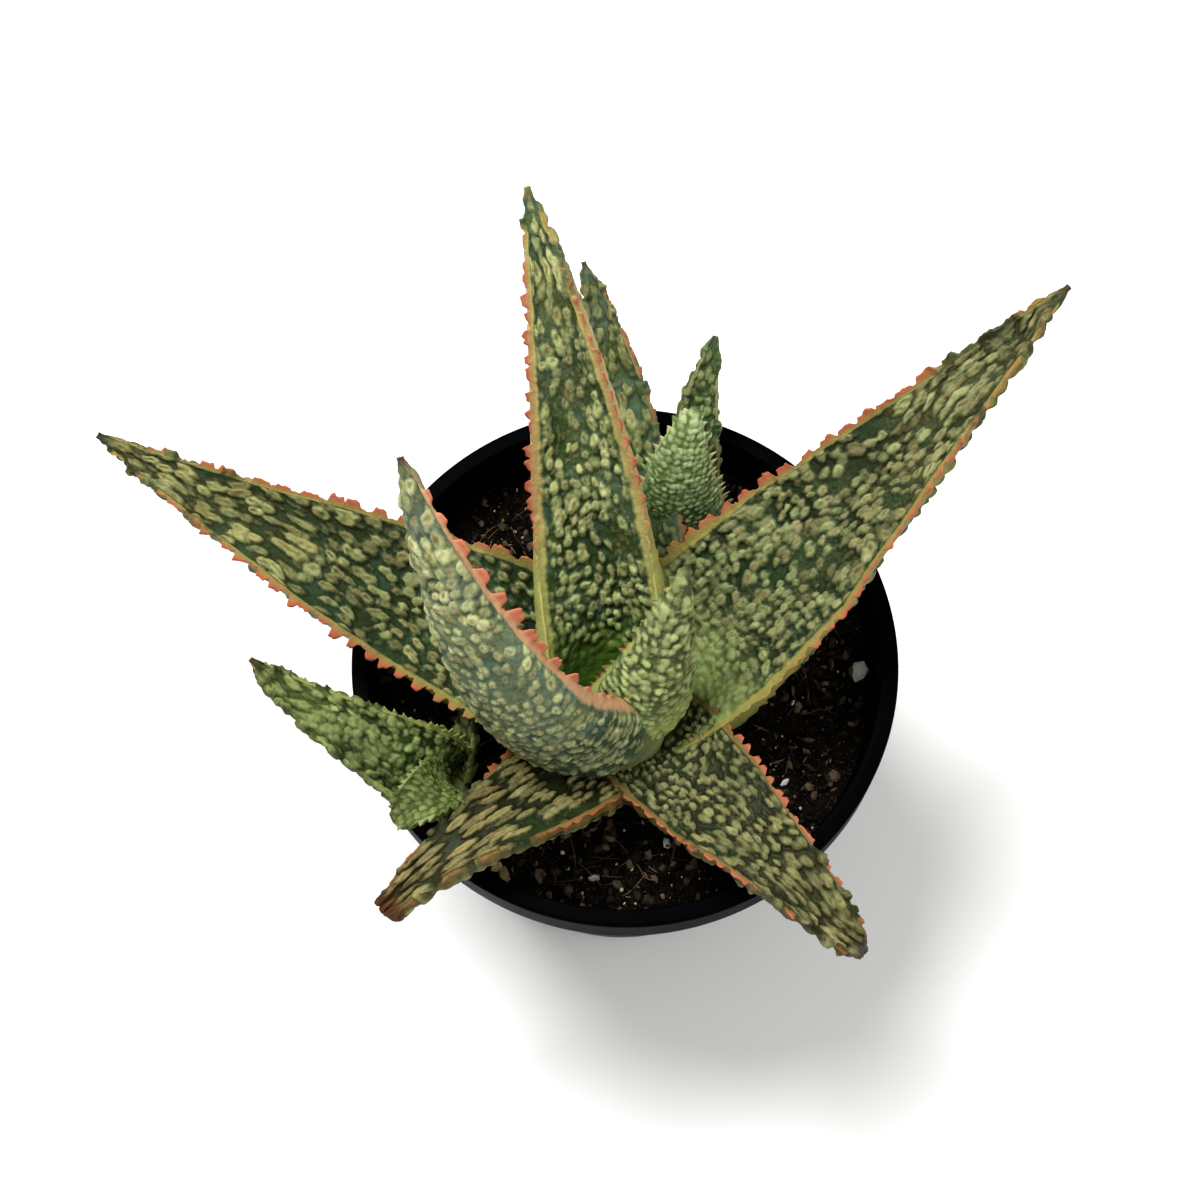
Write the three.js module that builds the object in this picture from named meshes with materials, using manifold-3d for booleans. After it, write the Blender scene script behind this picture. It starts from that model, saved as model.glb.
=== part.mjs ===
// A young spotted aloe with toothed, bumpy leaves in a round plastic nursery pot.
// Millimetres, +Z up. The origin is the middle of the pot's flat base.
// The plant has one main rosette and two small offsets. Every leaf is one closed body.

import * as THREE from 'three';
import { mergeVertices } from 'three/addons/utils/BufferGeometryUtils.js';
import Module from 'manifold-3d';

const wasm = await Module();
wasm.setup();

// pot: overall sizes, wall, the lip's height, how far it stands out, and its drain holes
const POT_HEIGHT = 88;
const BASE_RADIUS = 38;
const RIM_RADIUS = 52.5;
const WALL = 1.2;
const FLOOR = 1.6;
const LIP_HEIGHT = 9;
const LIP_STEP = 1.4;
const LIP_ROLL = 0.7;
const POT_SIDES = 48;
const DRAIN_HOLES = 6;
const DRAIN_HOLE_RADIUS = 4;
const DRAIN_HOLE_SIDES = 12;
const DRAIN_RING_RADIUS = 28;

// soil: surface height, rings of clods, their unevenness, and white grains
const SOIL_LEVEL = 75.5;
const SOIL_RINGS = 9;
const CLOD_HEIGHT = 1.1;
const CLOD_SHIFT = 0.06;
const GRAIN_RADIUS = 1.5;
const GRAIN_RISE = 0.5;

// plant: the gap kept between pieces, warts and teeth, the bare share of a leaf's base,
// where along a leaf it is flattest, and least sizes
const GAP = 0.35;
const BUMP_HEIGHT = 0.75;
const TOOTH_HEIGHT = 2.0;
const TOOTH_LEAN = 0.45;
const BARE_BASE = 0.1;
const CUP_MIDDLE = 0.4;
const FULL_RELIEF_WIDTH = 4;
const LEAST_THICK = 0.6;
const TIP_POINT = 1;
const STEM_SIDES = 16;

const { clamp, lerp, smoothstep } = THREE.MathUtils;

const wallTopRadius = RIM_RADIUS - LIP_STEP - LIP_ROLL;
const lipFoot = POT_HEIGHT - LIP_HEIGHT;

function outerWallRadius(z) {
  return BASE_RADIUS + (wallTopRadius - BASE_RADIUS) * Math.min(z / lipFoot, 1);
}

function innerWallRadius(z) {
  return outerWallRadius(z) - WALL;
}

// Stems: where the axis stands, the radius, and the heights of the buried end and of the top.
const stems = {
  main: { name: 'stem_main', x: 1, y: -9, radius: 8, foot: 54, top: 90 },
  back: { name: 'stem_back_offset', x: 12.5, y: 29.5, radius: 4, foot: 62, top: 82 },
  left: { name: 'stem_left_offset', x: -33, y: -24, radius: 3, foot: 66, top: 80.5 },
};

// Leaves, from the heart outwards. path is the middle line through four points. face is the
// way the upper side looks, at the base and at the tip. cup is the half angle of the section's
// arc at the base, near the middle and at the tip. thick is the middle thickness at the base
// and at the tip. taper says how the width falls, blunt is the half width of the end, neck is
// the share of the width at the base, and tooth is the share of the full tooth height. The
// grid has so many stations along the leaf and so many sides round it.
const leaves = [
  {
    name: 'leaf_heart', stem: 'main', stations: 24, sides: 12, color: 0x8ea66f,
    path: [[1.5, -14.5, 87], [4.5, -11.5, 102], [7.5, -4.5, 114.5], [10.5, 4.5, 124]],
    face: [[-0.3, 0.8, 0], [-0.3, 0.8, -0.3]],
    width: 32, cup: [1.25, 1.05, 0.8], thick: [4, 1.2], taper: [1.1, 1.15], tooth: 0.6, neck: 0.9,
  },
  {
    name: 'leaf_front_upright', stem: 'main', stations: 40, sides: 14, color: 0x7d9c86,
    path: [[-1, -16.5, 84], [-17, -18, 112], [-28.5, -7, 137], [-37, 11, 155]],
    face: [[-0.1, 0.9, -0.1], [0.5, 0.8, -0.2]],
    width: 27, cup: [1.3, 0.65, 0.8], thick: [6, 1.5], taper: [1.7, 1],
  },
  {
    name: 'leaf_back_upright', stem: 'main', stations: 44, sides: 14, color: 0x76905a,
    path: [[-3, -6, 86], [-6, 15, 111.5], [-10.5, 35, 138], [-17, 57, 162]],
    face: [[0, -0.8, 0.5], [-0.1, -0.8, 0.6]],
    width: 28, cup: [1.3, 0.6, 0.8], thick: [7, 1.5], taper: [1.4, 1], tooth: 0.8,
  },
  {
    name: 'leaf_right', stem: 'main', stations: 48, sides: 16, color: 0x6f8f58,
    path: [[4, -7, 84], [28, 9.5, 106.5], [50, 24.5, 132], [74.5, 44, 152]],
    face: [[-0.5, -0.4, 0.8], [-0.5, -0.4, 0.8]],
    width: 40, cup: [1, 0.35, 0.9], thick: [7, 1.8], taper: [1.3, 1.08], neck: 0.78,
  },
  {
    name: 'leaf_left', stem: 'main', stations: 46, sides: 16, color: 0x7a9357,
    path: [[-4, -7, 84], [-34.5, 5.5, 96], [-64, 15, 113.5], [-94.5, 28.5, 126]],
    face: [[0.4, -0.3, 0.9], [0.3, -0.3, 0.9]],
    width: 36, cup: [1, 0.3, 0.7], thick: [7, 1.8], taper: [1.5, 1.12],
  },
  {
    name: 'leaf_front_right', stem: 'main', stations: 28, sides: 14, color: 0x6d8850,
    path: [[3.5, -14, 83], [14, -28.5, 95], [27.5, -44, 101], [42, -59, 96]],
    face: [[-0.4, 0.5, 0.8], [-0.3, 0.4, 0.9]],
    width: 27, cup: [0.9, 0.3, 0.7], thick: [6, 1.8], taper: [1.3, 1], blunt: 2, tooth: 0.7,
  },
  {
    name: 'leaf_front_left', stem: 'main', stations: 26, sides: 14, color: 0x92915c,
    path: [[-2, -15, 83], [-14.5, -27.5, 93], [-28.5, -39, 100], [-43.5, -51.5, 95]],
    face: [[0.4, 0.5, 0.8], [0.3, 0.4, 0.9]],
    width: 27, cup: [0.9, 0.3, 0.9], thick: [6, 2.5], taper: [1.3, 1.1], blunt: 3, tooth: 0.5,
  },
  {
    name: 'leaf_back_low', stem: 'main', stations: 32, sides: 12, color: 0x7f9b63,
    path: [[1.5, -1, 83], [2.5, 25, 88], [-1, 49.5, 98.5], [-8, 72.5, 111]],
    face: [[0, -0.6, 0.8], [0.1, -0.6, 0.8]],
    width: 22, cup: [1.1, 0.45, 0.6], thick: [5, 1.5], tooth: 0.7,
  },
  {
    name: 'back_offset_leaf_front', stem: 'back', stations: 20, sides: 12, color: 0x93ac7c,
    path: [[12.5, 28.5, 78], [11, 30, 89], [11, 35.5, 99], [13.5, 43.5, 107]],
    face: [[0, 0.8, -0.1], [0, 0.8, -0.5]],
    width: 18, cup: [1, 0.7, 0.6], thick: [3, 1], taper: [2.2, 1], tooth: 0.6,
  },
  {
    name: 'back_offset_leaf_rear', stem: 'back', stations: 24, sides: 10, color: 0x7fa067,
    path: [[12.5, 28, 78], [13, 36, 90], [14.5, 46, 100.5], [17.5, 58, 108]],
    face: [[0, -0.8, 0.6], [0, -0.6, 0.8]],
    width: 14, cup: [1.2, 0.7, 0.8], thick: [3, 1], tooth: 0.5,
  },
  {
    name: 'left_offset_leaf_outer', stem: 'left', stations: 24, sides: 12, color: 0x86a56a,
    path: [[-34, -23, 79], [-42.5, -22.5, 97.5], [-55.5, -16.5, 104.5], [-67.5, -8.5, 110.5]],
    face: [[0.6, -0.3, 0.7], [0.3, -0.2, 0.9]],
    width: 19, cup: [1.2, 0.6, 0.8], thick: [3.2, 1.2], tooth: 0.5, neck: 0.6,
  },
  {
    name: 'left_offset_leaf_front', stem: 'left', stations: 18, sides: 12, color: 0x9db383,
    path: [[-32.5, -25, 80], [-38.8, -32.3, 97], [-37.5, -32, 103.5], [-33.2, -29.8, 104.5]],
    face: [[0.5, 0.4, 0.8], [0.3, 0.3, -0.9]],
    width: 15, cup: [1.2, 0.8, 0.6], thick: [2.2, 1], taper: [3, 1], tooth: 0.4, neck: 0.5,
  },
  {
    name: 'left_offset_leaf_small', stem: 'left', stations: 12, sides: 8, color: 0x7d8f55,
    path: [[-32, -22, 80], [-30.8, -16.5, 84.5], [-30, -11, 87], [-29.5, -5, 87.5]],
    face: [[-0.4, 0, 0.9], [-0.4, 0, 0.9]],
    width: 6, cup: [0.9, 0.7, 0.6], thick: [2, 1], tooth: 0.3,
  },
];

// A repeatable value from 0 to 1 for a whole number.
function chance(n) {
  const v = Math.sin(n * 127.1 + 11.7) * 43758.5453;
  return v - Math.floor(v);
}

// Points on a leaf's middle line, a cubic through its four path points.
function pathPoint(path, t) {
  const weights = [
    (1 - 3 * t) * (2 - 3 * t) * (1 - t) / 2,
    9 * t * (2 - 3 * t) * (1 - t) / 2,
    9 * t * (3 * t - 1) * (1 - t) / 2,
    t * (3 * t - 1) * (3 * t - 2) / 2,
  ];
  const point = new THREE.Vector3();
  path.forEach((p, i) => point.addScaledVector(new THREE.Vector3(...p), weights[i]));
  return point;
}

// The middle line measured by length: a table that gives t for each share s of the length.
function lengthTable(path, steps = 240) {
  const table = [0];
  let last = pathPoint(path, 0);
  for (let i = 1; i <= steps; i++) {
    const next = pathPoint(path, i / steps);
    table.push(table[i - 1] + next.distanceTo(last));
    last = next;
  }
  return (s) => {
    const want = s * table[steps];
    let i = 1;
    while (i < steps && table[i] < want) i++;
    return (i - 1 + (want - table[i - 1]) / (table[i] - table[i - 1])) / steps;
  };
}

// The frame at share s: centre, forward, up (the way the upper side looks) and sideways.
function leafFrame(leaf, toT, s) {
  const t = toT(s);
  const step = 0.002;
  const centre = pathPoint(leaf.path, t);
  const ahead = pathPoint(leaf.path, Math.min(t + step, 1));
  const behind = pathPoint(leaf.path, Math.max(t - step, 0));
  const forward = ahead.sub(behind).normalize();
  const baseFace = new THREE.Vector3(...leaf.face[0]).normalize();
  const tipFace = new THREE.Vector3(...leaf.face[1]).normalize();
  const up = baseFace.lerp(tipFace, s);
  up.addScaledVector(forward, -up.dot(forward)).normalize();
  const side = new THREE.Vector3().crossVectors(forward, up);
  return { centre, forward, up, side };
}

function halfWidth(leaf, s) {
  const [early, late] = leaf.taper ?? [1.45, 1];
  const blunt = leaf.blunt ?? 0.6;
  const neck = leaf.neck ?? 0.85;
  const body = (leaf.width / 2 - blunt) * (1 - s ** early) ** late;
  const end = blunt * Math.sqrt(1 - s ** 24);
  const swell = neck + (1 - neck) * Math.sin(Math.min(s * 4, 1) * Math.PI / 2);
  return Math.max((body + end) * swell, 0.4);
}

// The section at share s: half width, half angle of its arc, middle thickness, and how far
// its warts and teeth have grown, from 0 on the bare base and at the tip to 1.
function leafSection(leaf, s) {
  const w = halfWidth(leaf, s);
  const [baseCup, middleCup, tipCup] = leaf.cup;
  const arc = s < CUP_MIDDLE
    ? lerp(baseCup, middleCup, s / CUP_MIDDLE)
    : lerp(middleCup, tipCup, (s - CUP_MIDDLE) / (1 - CUP_MIDDLE));
  const slim = clamp(6 * w / leaf.width, 0.3, 1);
  const thick = Math.max(lerp(leaf.thick[0], leaf.thick[1], s) * slim, LEAST_THICK);
  const grown = smoothstep(s, BARE_BASE * 0.5, BARE_BASE * 2) * Math.min(w / FULL_RELIEF_WIDTH, 1);
  return { w, arc, thick, grown: s < 1 ? grown : 0 };
}

// A point of the section. u runs from 1 at one margin to -1 at the other, along an arc for
// the upper side and below it for the lower side. A raised point is a wart on a side and a
// forward-leaning tooth on a margin. grow moves every point outwards.
function sectionPoint(leaf, frame, section, { u, upper, raised, grow }) {
  const { centre, forward, up, side } = frame;
  const { w, arc, thick, grown } = section;
  const angle = u * arc;
  const bend = w / arc;
  const normal = up.clone().multiplyScalar(Math.cos(angle)).addScaledVector(side, -Math.sin(angle));
  const point = centre.clone();
  point.addScaledVector(side, bend * Math.sin(angle));
  point.addScaledVector(up, bend * (1 - Math.cos(angle)));
  if (Math.abs(u) === 1) {
    const outward = side.clone().multiplyScalar(u * Math.cos(angle));
    outward.addScaledVector(up, u * Math.sin(angle));
    const reach = raised ? TOOTH_HEIGHT * (leaf.tooth ?? 1) * grown : 0;
    point.addScaledVector(outward, reach + grow);
    return point.addScaledVector(forward, reach * TOOTH_LEAN);
  }
  if (!upper) {
    normal.negate();
    point.addScaledVector(normal, thick * Math.sqrt(1 - u * u));
  }
  return point.addScaledVector(normal, (raised ? BUMP_HEIGHT * grown : 0) + grow);
}

// One leaf as a closed grid: rings of points round the section, one ring a station, with
// every other point raised. grow gives a slightly bigger leaf, for clearing its neighbours.
function leafMesh(leaf, grow = 0) {
  const { stations, sides } = leaf;
  const half = sides / 2;
  const toT = lengthTable(leaf.path);
  const points = [];
  for (let i = 0; i <= stations; i++) {
    const frame = leafFrame(leaf, toT, i / stations);
    const section = leafSection(leaf, i / stations);
    if (i === 0) frame.centre.addScaledVector(frame.forward, -grow);
    for (let k = 0; k < sides; k++) {
      const upper = k <= half;
      const u = upper ? 1 - 2 * k / half : 2 * (k - half) / half - 1;
      const raised = (i + k) % 2 === 1;
      points.push(sectionPoint(leaf, frame, section, { u, upper, raised, grow }));
    }
  }
  const last = leafFrame(leaf, toT, 1);
  const tip = last.centre.addScaledVector(last.forward, TIP_POINT + grow);
  const tipIndex = points.push(tip.addScaledVector(last.up, -LEAST_THICK / 2)) - 1;

  const faces = [];
  for (let k = 0; k < sides; k++) {
    faces.push([tipIndex, stations * sides + k, stations * sides + (k + 1) % sides]);
  }
  // the base is closed straight across, from the upper side to the lower one
  for (let k = 0; k < half; k++) {
    const under = sides - k;
    if (k > 0) faces.push([k, under, k + 1]);
    if (k < half - 1) faces.push([k + 1, under % sides, under - 1]);
  }
  for (let i = 0; i < stations; i++) {
    for (let k = 0; k < sides; k++) {
      const a = i * sides + k;
      const b = i * sides + (k + 1) % sides;
      const c = b + sides;
      const d = a + sides;
      if ((i + k) % 2 === 1) faces.push([a, b, d], [b, c, d]);
      else faces.push([a, b, c], [a, c, d]);
    }
  }
  return facesOut(points, faces);
}

// A geometry from points and triangles, turned so that its faces look out.
function facesOut(points, faces) {
  let volume = 0;
  const cross = new THREE.Vector3();
  for (const [a, b, c] of faces) {
    volume += points[a].dot(cross.crossVectors(points[b], points[c]));
  }
  const order = volume > 0 ? faces : faces.map(([a, b, c]) => [a, c, b]);
  const geometry = new THREE.BufferGeometry();
  const places = points.flatMap((p) => p.toArray());
  geometry.setAttribute('position', new THREE.Float32BufferAttribute(places, 3));
  geometry.setIndex(order.flat());
  return geometry;
}

// A closed geometry as a solid that can be cut and joined.
function solid(geometry) {
  const bare = geometry.clone();
  bare.deleteAttribute('normal');
  bare.deleteAttribute('uv');
  const merged = mergeVertices(bare, 1e-4);
  const index = merged.index.array;
  const kept = [];
  for (let i = 0; i < index.length; i += 3) {
    const [a, b, c] = [index[i], index[i + 1], index[i + 2]];
    if (a !== b && b !== c && a !== c) kept.push(a, b, c);
  }
  return new wasm.Manifold(new wasm.Mesh({
    numProp: 3,
    vertProperties: new Float32Array(merged.attributes.position.array),
    triVerts: new Uint32Array(kept),
  }));
}

// The biggest body of a solid, as a geometry. Loose scraps of a cut are dropped.
function toGeometry(body) {
  const pieces = body.decompose().sort((a, b) => b.volume() - a.volume());
  const mesh = pieces[0].getMesh();
  const geometry = new THREE.BufferGeometry();
  geometry.setAttribute('position', new THREE.Float32BufferAttribute(mesh.vertProperties, 3));
  geometry.setIndex([...mesh.triVerts]);
  return geometry;
}

// A round body about the Z axis, from a profile of [radius, height] points.
function turned(profile, sides) {
  const geometry = new THREE.LatheGeometry(profile.map(([r, z]) => new THREE.Vector2(r, z)), sides);
  return geometry.rotateX(Math.PI / 2);
}

function post(radius, low, high, sides) {
  return turned([[0, low], [radius, low], [radius, high], [0, high]], sides);
}

function potGeometry() {
  const lipInner = innerWallRadius(lipFoot);
  const top = POT_HEIGHT - LIP_ROLL;
  const rimOuter = RIM_RADIUS - LIP_ROLL;
  const profile = [
    [0, 0],
    [BASE_RADIUS - 1, 0],
    [BASE_RADIUS, 1],
    [wallTopRadius, lipFoot],
    [RIM_RADIUS - 0.4, lipFoot],
    [RIM_RADIUS, lipFoot + 1],
    [RIM_RADIUS, top],
    [rimOuter + LIP_ROLL * 0.3, POT_HEIGHT - LIP_ROLL * 0.3],
    [rimOuter, POT_HEIGHT],
    [lipInner + LIP_ROLL, POT_HEIGHT],
    [lipInner + 0.2, POT_HEIGHT - LIP_ROLL * 0.4],
    [lipInner, lipFoot],
    [innerWallRadius(FLOOR), FLOOR],
    [0, FLOOR],
  ];
  let pot = solid(turned(profile, POT_SIDES));
  for (let i = 0; i < DRAIN_HOLES; i++) {
    const angle = 2 * Math.PI * (i + 0.5) / DRAIN_HOLES;
    const hole = post(DRAIN_HOLE_RADIUS, -1, FLOOR + 1, DRAIN_HOLE_SIDES);
    hole.translate(DRAIN_RING_RADIUS * Math.cos(angle), DRAIN_RING_RADIUS * Math.sin(angle), 0);
    pot = pot.subtract(solid(hole));
  }
  return toGeometry(pot);
}

// A stem: a round post with a chamfered foot and a domed top. grow makes it bigger all round.
function stemGeometry(stem, grow = 0) {
  const r = stem.radius + grow;
  const low = stem.foot - grow;
  const high = stem.top + grow;
  const dome = stem.radius / 2;
  const profile = [
    [0, low],
    [r * 0.85, low],
    [r, low + 1.5],
    [r, high - dome],
    [r * 0.7, high - dome * 0.3],
    [0, high],
  ];
  return turned(profile, STEM_SIDES).translate(stem.x, stem.y, 0);
}

// The plain hole for a stem reaches up through the soil's surface.
function stemHole(stem) {
  const hole = post(stem.radius + GAP, stem.foot - GAP, stem.top + GAP, STEM_SIDES);
  return hole.translate(stem.x, stem.y, 0);
}

// Soil that fills the pot. Its surface is a round grid of uneven clods. lift raises the
// surface, for clearing leaves.
function soilMesh(lift = 0) {
  const low = FLOOR + GAP;
  const edge = innerWallRadius(SOIL_LEVEL) - GAP;
  const points = [new THREE.Vector3(0, 0, SOIL_LEVEL + lift)];
  for (let ring = 1; ring <= SOIL_RINGS; ring++) {
    const radius = edge * ring / SOIL_RINGS;
    for (let k = 0; k < POT_SIDES; k++) {
      const angle = 2 * Math.PI * k / POT_SIDES;
      const seed = ring * POT_SIDES + k;
      const inner = ring < SOIL_RINGS;
      const turn = angle + (inner ? (chance(seed + 0.3) - 0.5) * CLOD_SHIFT : 0);
      const height = SOIL_LEVEL + lift + (inner ? CLOD_HEIGHT * (chance(seed) - 0.5) * 2 : 0);
      points.push(new THREE.Vector3(radius * Math.cos(turn), radius * Math.sin(turn), height));
    }
  }
  const foot = points.length;
  for (let k = 0; k < POT_SIDES; k++) {
    const angle = 2 * Math.PI * k / POT_SIDES;
    const radius = innerWallRadius(low) - GAP;
    points.push(new THREE.Vector3(radius * Math.cos(angle), radius * Math.sin(angle), low));
  }
  const bottom = points.push(new THREE.Vector3(0, 0, low)) - 1;
  const faces = [];
  for (let k = 0; k < POT_SIDES; k++) {
    const next = (k + 1) % POT_SIDES;
    faces.push([0, 1 + k, 1 + next]);
    for (let ring = 0; ring < SOIL_RINGS - 1; ring++) {
      const a = 1 + ring * POT_SIDES + k;
      const b = 1 + ring * POT_SIDES + next;
      const c = b + POT_SIDES;
      const d = a + POT_SIDES;
      if (chance(a) > 0.5) faces.push([a, d, c], [a, c, b]);
      else faces.push([a, d, b], [d, c, b]);
    }
    const rim = 1 + (SOIL_RINGS - 1) * POT_SIDES;
    faces.push([rim + k, foot + k, foot + next], [rim + k, foot + next, rim + next]);
    faces.push([foot + k, bottom, foot + next]);
  }
  return facesOut(points, faces);
}

// Places of the white grains: one rests near the wall on the right, the rest are spread.
const grains = [[45.5, -1], [22, -37], [-6, -41], [31, -22], [38, 14], [24, 38], [-20, 36],
  [-38, 12], [8, -34], [17, -30], [33, -6], [-12, -36]];

function soilGeometry() {
  let soil = solid(soilMesh());
  for (const stem of Object.values(stems)) soil = soil.subtract(solid(stemHole(stem)));
  grains.forEach(([x, y], i) => {
    const grain = new THREE.OctahedronGeometry(GRAIN_RADIUS * (0.8 + 0.4 * chance(i + 90)));
    grain.rotateZ(chance(i + 40) * 6).rotateX(0.4);
    grain.translate(x, y, SOIL_LEVEL + GRAIN_RISE);
    soil = soil.add(solid(grain));
  });
  return toGeometry(soil);
}

function matter(color, roughness) {
  return new THREE.MeshStandardMaterial({ color, roughness, metalness: 0 });
}

const group = new THREE.Group();

function place(name, geometry, material) {
  const mesh = new THREE.Mesh(geometry, material);
  mesh.name = name;
  group.add(mesh);
}

place('pot', potGeometry(), matter(0x1b1d22, 0.45));
place('soil', soilGeometry(), matter(0x2a211b, 0.95));
for (const stem of Object.values(stems)) {
  place(stem.name, stemGeometry(stem), matter(0x8a9460, 0.7));
}

// Each leaf is cut clear of its stem, of the soil and of the leaves nearer the heart,
// which it clasps, so that neighbours stay a small gap apart.
const raisedSoil = solid(soilMesh(GAP));
const cleared = [];
for (const leaf of leaves) {
  let body = solid(leafMesh(leaf));
  body = body.subtract(solid(stemGeometry(stems[leaf.stem], GAP)));
  body = body.subtract(raisedSoil);
  for (const inner of cleared) body = body.subtract(solid(leafMesh(inner, GAP)));
  cleared.push(leaf);
  place(leaf.name, toGeometry(body), matter(leaf.color, 0.55));
}

export default group;
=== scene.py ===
import bmesh
import bpy
import math
import numpy as np
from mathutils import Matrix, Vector


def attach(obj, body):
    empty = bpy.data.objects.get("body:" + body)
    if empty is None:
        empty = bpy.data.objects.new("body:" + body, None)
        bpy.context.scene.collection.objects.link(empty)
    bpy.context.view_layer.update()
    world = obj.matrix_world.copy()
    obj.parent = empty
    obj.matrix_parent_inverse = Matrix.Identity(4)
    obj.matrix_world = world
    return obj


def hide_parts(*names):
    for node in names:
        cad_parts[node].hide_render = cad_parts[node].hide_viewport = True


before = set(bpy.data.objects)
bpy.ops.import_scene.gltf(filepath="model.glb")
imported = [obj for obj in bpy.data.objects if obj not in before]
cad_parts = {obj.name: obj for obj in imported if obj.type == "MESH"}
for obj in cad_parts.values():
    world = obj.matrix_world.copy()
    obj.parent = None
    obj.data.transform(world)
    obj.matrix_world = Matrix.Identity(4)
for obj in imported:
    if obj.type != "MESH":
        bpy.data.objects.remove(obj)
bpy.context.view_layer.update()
print("frame loaded,", len(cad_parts), "nodes")

mm = 0.001  # sizes of the plant and pot are in millimetres and become metres in makePiece
scene = bpy.context.scene


# vectors scaled to length 1
def unit(v):
    return v / np.maximum(np.linalg.norm(v, axis=-1, keepdims=True), 1e-12)


# 0 below low, 1 above high and a smooth S between them
def ease(low, high, x):
    t = np.clip((x - low) / (high - low), 0, 1)
    return t * t * (3 - 2 * t)


# a where t is 0 and b where t is 1
def between(a, b, t):
    return a + (b - a) * t


# a repeatable value from 0 to 1 for each pair of whole numbers
def chance(i, j, seed):
    v = np.sin(i * 127.1 + j * 311.7 + seed * 74.7) * 43758.5453
    return v - np.floor(v)


# smooth noise from 0 to 1: chance at the four corners of a unit square, eased between them
def patches(x, y, seed):
    i, j = np.floor(x), np.floor(y)
    u, v = ease(0, 1, x - i), ease(0, 1, y - j)
    near = between(chance(i, j, seed), chance(i + 1, j, seed), u)
    far = between(chance(i, j + 1, seed), chance(i + 1, j + 1, seed), u)
    return between(near, far, v)


# several octaves of patches, each half as wide and a bit over half as strong
def roughNoise(x, y, seed, octaves=4):
    total, strength = 0, 0
    for k in range(octaves):
        total = total + patches(x * 2 ** k, y * 2 ** k, seed + k) * 0.55 ** k
        strength += 0.55 ** k
    return total / strength


# quads between rows x columns points; each row closes into a ring
def gridFaces(rows, columns):
    index = np.arange(rows * columns).reshape(rows, columns)
    index = np.concatenate([index, index[:, :1]], axis=1)
    return np.stack([index[:-1, :-1], index[:-1, 1:], index[1:, 1:], index[1:, :-1]], -1).reshape(-1, 4)


# points in millimetres and faces become one object on the plant's body
def makePiece(name, points, faces, material, nodes=(), values=None, smooth=True):
    mesh = bpy.data.meshes.new(name)
    mesh.from_pydata((np.asarray(points, float) * mm).tolist(), [], faces)
    for key, value in (values or {}).items():
        flat = np.broadcast_to(value, len(points)).astype(np.float32)
        mesh.attributes.new(key, "FLOAT", "POINT").data.foreach_set("value", flat)
    mesh.polygons.foreach_set("use_smooth", np.full(len(mesh.polygons), smooth))
    mesh.materials.append(material)
    mesh.update()
    piece = bpy.data.objects.new(name, mesh)
    scene.collection.objects.link(piece)
    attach(piece, "root")
    if nodes:
        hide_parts(*nodes)
    return piece


# reverses the faces if the closed shape they bound has a negative volume
def facesOut(points, faces):
    quads = np.array([f for f in faces if len(f) == 4])
    tris = [f for f in faces if len(f) == 3]
    fan = np.concatenate([quads[:, [0, 1, 2]], quads[:, [0, 2, 3]], np.array(tris).reshape(-1, 3)])
    a, b, c = points[fan[:, 0]], points[fan[:, 1]], points[fan[:, 2]]
    volume = np.einsum("ij,ij->i", a, np.cross(b, c)).sum()
    return faces if volume > 0 else [f[::-1] for f in faces]


# a hex colour as the linear one that sockets take
def colour(hexText):
    parts = np.array([int(hexText[k:k + 2], 16) / 255 for k in (0, 2, 4)])
    linear = np.where(parts <= 0.04045, parts / 12.92, ((parts + 0.055) / 1.055) ** 2.4)
    return (*linear, 1.0)


# links or sets inputs of a node
def feed(tree, made, inputs):
    for key, value in dict(inputs).items():
        if isinstance(value, bpy.types.NodeSocket):
            tree.links.new(value, made.inputs[key])
        elif value is not None:
            made.inputs[key].default_value = value


# a node with its settings, and its inputs linked or set
def node(tree, kind, inputs=(), **settings):
    made = tree.nodes.new(kind)
    for key, value in settings.items():
        setattr(made, key, value)
    feed(tree, made, inputs)
    return made


def calc(tree, operation, a, b=None, c=None, clamp=False):
    made = node(tree, "ShaderNodeMath", {0: a, 1: b, 2: c}, operation=operation, use_clamp=clamp)
    return made.outputs[0]


def mixColour(tree, factor, a, b, way="MIX"):
    made = node(tree, "ShaderNodeMix", {0: factor, 6: a, 7: b}, data_type="RGBA", blend_type=way)
    return made.outputs[2]


# value from low..high becomes 0..1 with soft ends
def soften(tree, value, low, high):
    inputs = {"Value": value, "From Min": low, "From Max": high}
    return node(tree, "ShaderNodeMapRange", inputs, interpolation_type="SMOOTHSTEP").outputs[0]


def attribute(tree, name):
    return node(tree, "ShaderNodeAttribute", attribute_name=name).outputs["Fac"]


def greyOf(tree, value):
    return node(tree, "ShaderNodeCombineColor", {0: value, 1: value, 2: value}).outputs[0]


# noise on Object coordinates; a higher scale is finer
def objectNoise(tree, scale, detail=3.0):
    place = node(tree, "ShaderNodeTexCoord").outputs["Object"]
    inputs = {"Vector": place, "Scale": scale, "Detail": detail, "Roughness": 0.6}
    return node(tree, "ShaderNodeTexNoise", inputs).outputs[0]


def bump(tree, height, strength, distance):
    inputs = {"Height": height, "Strength": strength, "Distance": distance}
    return node(tree, "ShaderNodeBump", inputs).outputs[0]


# an empty group; returns its tree, the sockets it is given and the sockets it puts out
def newGroup(name, inputs, outputs):
    tree = bpy.data.node_groups.new(name, "ShaderNodeTree")
    for direction, sockets in (("INPUT", inputs), ("OUTPUT", outputs)):
        for key, kind in sockets.items():
            tree.interface.new_socket(key, in_out=direction, socket_type="NodeSocket" + kind)
    return tree, tree.nodes.new("NodeGroupInput").outputs, tree.nodes.new("NodeGroupOutput").inputs


def newMaterial(name):
    material = bpy.data.materials.new(name)
    material.use_nodes = True
    return material, material.node_tree, material.node_tree.nodes["Principled BSDF"]


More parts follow.
